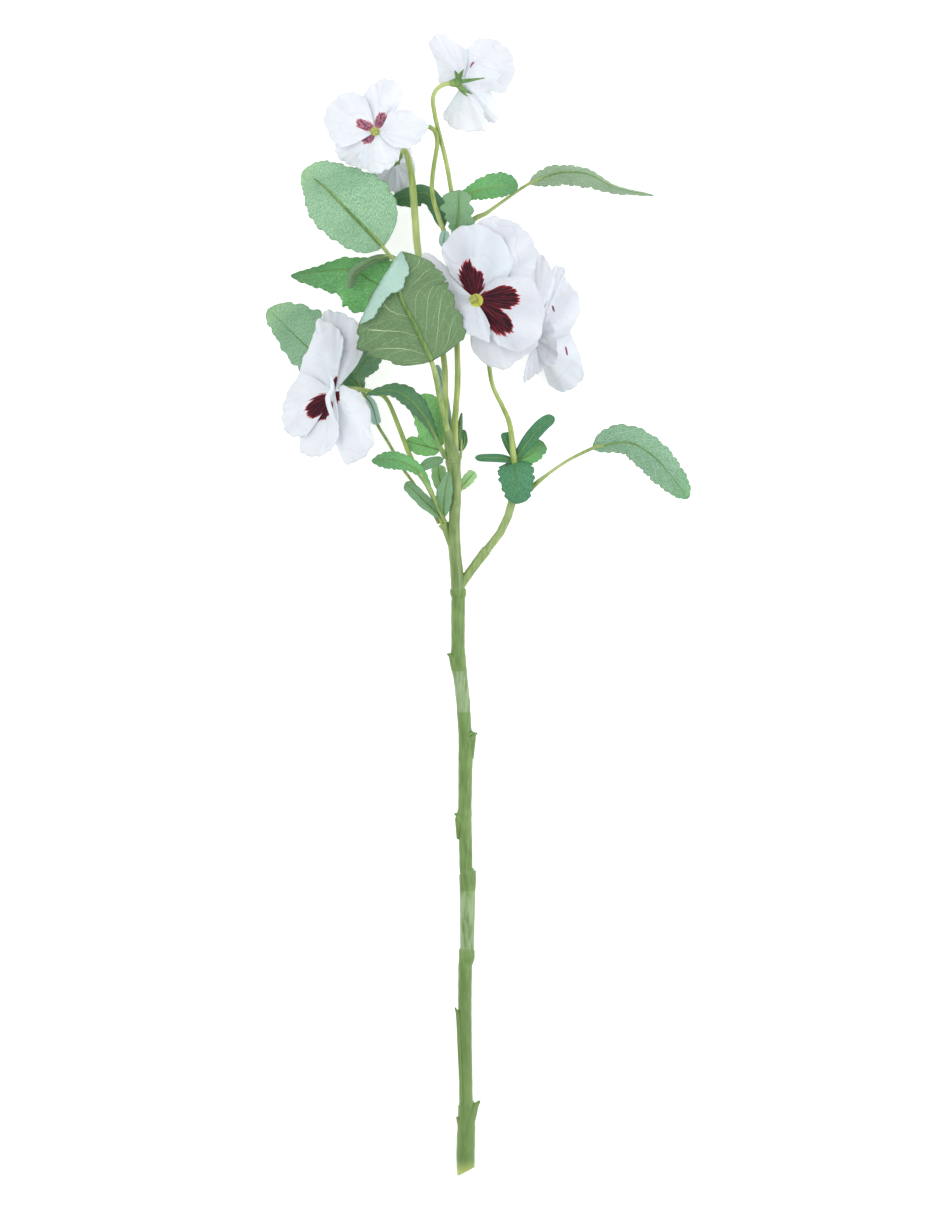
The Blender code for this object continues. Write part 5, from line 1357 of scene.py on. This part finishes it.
BLOOMS = (
    Bloom("bloom_a", heart=(-7, 261.5, 40), facing=(0.93, 0.1, -0.34), lean=(-0.1, 0), cup=-1.5, ruffle=1.2,
        eye=False, purple=1,
        blotches=(Blotch(1, (3.2, 8.4), 1.9, 0.9, 65),),
        sepals=((-1, 6.2, 3.4), (9.5, 1.8, 4.4), (3.4, -6.2, 3.6), (0.8, -7.4, 1.6), (-5.6, 5.6, -2)),
        petals=(
            Petal(((-13, -0.5, -9), (-14, 10.5, -11), (-17.5, 18.5, -12), (-14.5, 23.5, -13), (-9, 24, -13),
                    (-4.5, 20.5, -12), (1.5, 17.5, -10)), painted_shade=0.3),
            Petal(((1, 17, -11), (6, 21, -12), (12.5, 22, -12), (19.5, 19, -12), (25, 12, -11),
                    (24.5, 2.5, -11), (20, -5, -11), (15, -4.5, -10)), painted_shade=0.3),
            Petal(((2, 5.5, 0), (6, 9.5, 1), (11.5, 10, 1), (17.5, 5.5, 0), (17, 1.5, 0), (12, -4.5, 0.6),
                    (7, -6.5, 0.6), (2.5, -3.5, 0))),
            Petal(((0, -6.5, -7), (-1.6, -11.5, -8), (-9.8, -14.8, -10), (-8.6, -20, -11), (-3.2, -23.7, -10),
                    (5, -24.4, -9), (11, -23.5, -9), (10.5, -15, -9)), fullness=-0.5),
            Petal(((7, -8.5, -14), (9, -15, -15), (13, -20, -15), (17.2, -18.6, -15), (16.8, -12.5, -15),
                    (14.8, -5, -15))))),
    Bloom("bloom_b", heart=(-52.2, 236.5, 52), facing=(-0.34, 0.05, 0.94), lean=(0.36, -0.05), cup=2.4,
        ruffle=1.3, eye=True, blaze=2.2, purple=1,
        blotches=(Blotch(0, (-5.2, 3.2), 4.9, 2.6, 158), Blotch(1, (2.4, 5.6), 4.4, 2.4, 70), Blotch(2,
                (3.4, 5.2), 4.4, 1.6, 62), Blotch(4, (-3, -3.4), 4, 2.2, 210), Blotch(3, (-2.6, -3.6), 3.4,
                1.8, 235)),
        petals=(
            Petal(((-18, -8.5, 3), (-23, -2.5, 2), (-26, 7.5, 1.5), (-21, 16, 1.5), (-13, 20, 2),
                    (-6, 18, 3))),
            Petal(((-8, 17.5, -2), (-2, 23.5, -2), (5, 26.5, -3), (11.5, 23, -4), (13, 17.5, -4),
                    (10, 10.5, -2))),
            Petal(((9, 12, 2), (16, 10.5, 1), (23, 6, 0), (26, 2.5, -1), (22, -4.5, -1), (17, -8, 0),
                    (10, -8.5, 1))),
            Petal(((13, -7.5, -4), (10, -15.5, -4), (2, -20.5, -3), (-4, -19.5, -3), (-10, -14, -4))),
            Petal(((-3, -19, -6), (-10, -17.5, -6), (-18, -13.5, -6), (-20.5, -8, -5), (-19, -3, -5))))),
    Bloom("bloom_c", heart=(-42.3, 221.1, 24.4), facing=(-0.37, -0.56, -0.74), lean=(0, 0), cup=-2, ruffle=1,
        eye=False, calyx=0.6,
        sepals=((1.4, 0.4, 3.6), (-0.4, -1.6, 3.4), (-2.4, 0.6, 2.2), (-0.8, 2.6, 1), (2, 2, 0.5)),
        petals=(
            Petal(((7.5, -2, -5), (8, -8, -7), (7, -14, -9), (2, -17.5, -9), (-2.5, -15, -7)), painted_shade=0.6),
            Petal(((-1, -15, -4), (-6, -16, -5), (-11, -12, -5), (-12, -6, -6), (-9, -1, -6)), painted_shade=0.6),
            Petal(((-11, -3, -13), (-14, 3, -16), (-10, 8.5, -17), (-3.5, 9, -16)), painted_shade=0.6),
            Petal(((-4.5, 9, -14), (1, 11, -17), (6.8, 8, -18), (8, 2, -16)), painted_shade=0.6),
            Petal(((8.5, 3, -13), (9.5, -4, -16), (7.5, -10.5, -18), (2, -12, -17)), painted_shade=0.6))),
    Bloom("bloom_d", heart=(-3, 153, 62), facing=(-0.3, -0.05, 0.95), lean=(0.3, 0.04), cup=2.6, ruffle=1.2,
        eye=True, blaze=3.4, blaze_middle=(1.2, -0.8),
        blotches=(Blotch(0, (-1.8, 9.6), 9.6, 5, 104), Blotch(0, (1.2, 7), 7, 4.2, 84), Blotch(1,
                (11.8, -0.2), 11, 5.6, 4), Blotch(1, (15, 1), 7.4, 5.4, 10), Blotch(1, (10, -9), 11.4, 5.6,
                -48), Blotch(1, (13, -10.8), 7.8, 5, -52)),
        petals=(
            Petal(((-12, 12, -1), (-16.5, 24, -2), (-9.5, 34.5, -3), (2, 37, -3), (13, 31, -3), (19, 19, -2),
                    (16, 9, -1)), painted_shade=0.7),
            Petal(((12, 11, 2), (27, 10, 1), (34.5, -3, 0), (32.5, -19, 0), (23, -26.5, 1), (12, -23, 2),
                    (5, -14, 3)), painted_shade=0.8),
            Petal(((-10, 13.5, -3.4), (-25, 23, -5.4), (-25, 4, -3), (-15, -12, 0.5), (-3, -17.5, 3),
                    (6.5, -21.5, 5), (8, -14.5, 6)), painted_shade=0.6),
            Petal(((-3, 38, -6), (10, 41, -7), (23, 36, -9), (30, 27, -9), (30.5, 17, -8), (25, 7, -7)),
                painted_shade=0.7),
            Petal(((-2, -12, -7), (-1.5, -24, -9), (5, -32, -9), (15, -35, -9), (23, -29.5, -9),
                    (31, -23, -9), (29, -12, -8)), painted_shade=0.6))),
    Bloom("bloom_e", heart=(28.5, 134, 25), facing=(0.93, -0.1, 0.34), lean=(0, 0), cup=1.5, ruffle=1.1,
        eye=False, purple=0.5,
        blotches=(Blotch(1, (8, 14.6), 2, 0.55, 108), Blotch(2, (14.6, -6.6), 3.2, 0.55, 100)),
        petals=(
            Petal(((-3, 20, 1), (-3.5, 37, -2), (0, 43, -4), (5, 40, -5), (9.5, 31.5, -6), (9, 24, -5),
                    (5.5, 16, -2)), painted_shade=0.4),
            Petal(((6.5, 22, -9), (9.4, 35, -13), (14.8, 34.6, -15), (15.6, 29, -16), (21.4, 22, -16),
                    (22.4, 13.5, -15), (18.4, 1.5, -12)), painted_shade=0.6),
            Petal(((18, 4, -18), (22, -7, -22), (24.5, -19, -24.4), (20, -24.5, -24.4), (14, -27, -24.4),
                    (7.5, -23.5, -22), (4.5, -16, -16)), painted_shade=0.6),
            Petal(((2, 12, 5), (6.5, 11, 6), (10, 2, 6), (11.3, -6, 6), (10.8, -12.5, 5), (5.5, -15.5, 4)),
                painted_shade=0.8),
            Petal(((4, -17.5, 1), (0.5, -18.6, 1), (-5.2, -22.5, 2), (-5.2, -17, 4), (-1.8, -7, 4)),
                painted_shade=0.4, crimp=0.1, waves=1))),
    Bloom("bloom_f", heart=(-73, 107, 38), facing=(-0.38, -0.15, 0.91), lean=(0.34, 0.08), cup=2.2,
        ruffle=1.3, eye=False,
        blotches=(Blotch(2, (-7.4, -7), 7.6, 4.8, 42), Blotch(3, (-4.6, -9.6), 6, 3.4, 52), Blotch(1,
                (0.7, 3), 4.8, 1.5, 80), Blotch(4, (1.4, -1), 5, 1.6, 95)),
        crest=((-1.5, 9, 5), (-0.5, 1.6, 6), (-3.1, -3.6, 6), (-0.5, -12, 6.4), (2.6, -18.3, 6)),
        petals=(
            Petal(((-8.4, 36.5, -8), (-4.7, 40.2, -9), (0.8, 39.8, -9), (7, 37.6, -9), (12, 33, -9),
                    (14.4, 21.5, -8), (10.5, 12.5, -7), (5.5, 7, -6)), painted_shade=0.6),
            Petal(((3, 16, 1), (4.4, 25, 0), (1, 32, -1), (-8, 36, -2), (-10.4, 28, -2), (-15, 17.5, -2),
                    (-19.5, 8.5, -1)), painted_shade=0.35, crimp=0.6),
            Petal(((-18, 10, 3), (-24.5, -3, 1), (-26.3, -13, 0), (-23.5, -21, 0), (-15.5, -24, 1)),
                painted_shade=0.2, crimp=0.5),
            Petal(((-18.2, -22, -2), (-16.8, -30.2, -3), (-10.5, -32.7, -3), (-4, -31, -2), (1.5, -24, 4),
                    (2, -14, 8))),
            Petal(((4, 3, -3), (12, -0.5, -4), (17.5, -8.5, -4), (18, -19, -4), (19.5, -27, -4),
                    (12, -34.5, -4), (5.5, -36, -4), (0.5, -28, -3))))),
)


@dataclass(frozen=True)
class Studio:
    """The camera straight above the spray, the pale surface under it, and soft light all round."""

    middle: tuple[float, float] = (-5.0, -0.75)
    picture_length: float = 607.5
    lens: float = 1000.0
    sensor: float = 36.0
    farthest: float = 60.0
    floor_size: float = 12.0
    paper: Colour = (0.94, 0.94, 0.94)
    paper_light: Colour = (0.96, 0.96, 0.96)
    paper_grain: float = 40.0
    paper_roughness: float = 0.9
    glow: float = 0.32
    surroundings: float = 0.95

    def camera(self) -> None:
        """Hangs the camera so that the picture's long side spans picture_length on the surface."""
        made = bpy.data.cameras.new("camera")
        made.lens = self.lens
        made.sensor_width = self.sensor
        made.clip_end = self.farthest
        camera = added("camera", made)
        height = self.picture_length * self.lens / self.sensor
        camera.location = Vector((*self.middle, height)) * MM
        bpy.context.scene.camera = camera

    def floor(self) -> None:
        """Lays the pale surface."""
        work = bmesh.new()
        bmesh.ops.create_grid(work, x_segments=8, y_segments=8, size=self.floor_size / 2.0)
        mesh = bpy.data.meshes.new("surface")
        work.to_mesh(mesh)
        work.free()
        graph = Graph("pale surface")
        grain = graph.noise(graph.place(), self.paper_grain, 2.0)
        colour = graph.mix(grain, self.paper, self.paper_light)
        glow = {"Emission_Color": WHITE, "Emission_Strength": self.glow}
        mesh.materials.append(graph.finish(colour, self.paper_roughness, **glow))
        surface = added("surface", mesh)

    def lamp(self, name: str, place: Point, size: float, power: float) -> None:
        """Hangs a soft square lamp that looks at the spray.

        Args:
            name: Its name.
            place: Where it hangs, in metres.
            size: Length of its side in metres.
            power: Its power in watts.
        """
        made = bpy.data.lights.new(name, "AREA")
        made.shape = "SQUARE"
        made.size = size
        made.energy = power
        lamp = added(name, made)
        lamp.location = place
        lamp.rotation_mode = "QUATERNION"
        lamp.rotation_quaternion = (-Vector(place)).to_track_quat("-Z", "Y")

    def light(self) -> None:
        """Sets the soft light and a white surrounding."""
        self.lamp("left lamp", (-0.9, 0.7, 1.5), 1.1, 9.0)
        self.lamp("right lamp", (1.3, 0.2, 1.1), 1.4, 12.0)
        world = bpy.data.worlds.new("white room")
        world.use_nodes = True
        background = world.node_tree.nodes["Background"].inputs
        background["Color"].default_value = WHITE
        background["Strength"].default_value = self.surroundings
        bpy.context.scene.world = world
        bpy.context.scene.view_settings.view_transform = "Standard"

    def build(self) -> None:
        """Sets up the camera, the surface and the light."""
        self.camera()
        self.floor()
        self.light()


def main() -> None:
    """Dresses the spray piece by piece and sets up the studio."""
    logging.basicConfig(level=logging.INFO, format="%(name)s: %(message)s")
    nodes = LowerStem().build() + Fork().build()
    for stalk in STALKS:
        nodes += stalk.build()
    for leaf in LEAVES:
        nodes.append(leaf.build())
    for bloom in BLOOMS:
        nodes += bloom.build()
    for node in nodes:
        node.report()
    Studio().build()


if __name__ == "__main__":
    main()
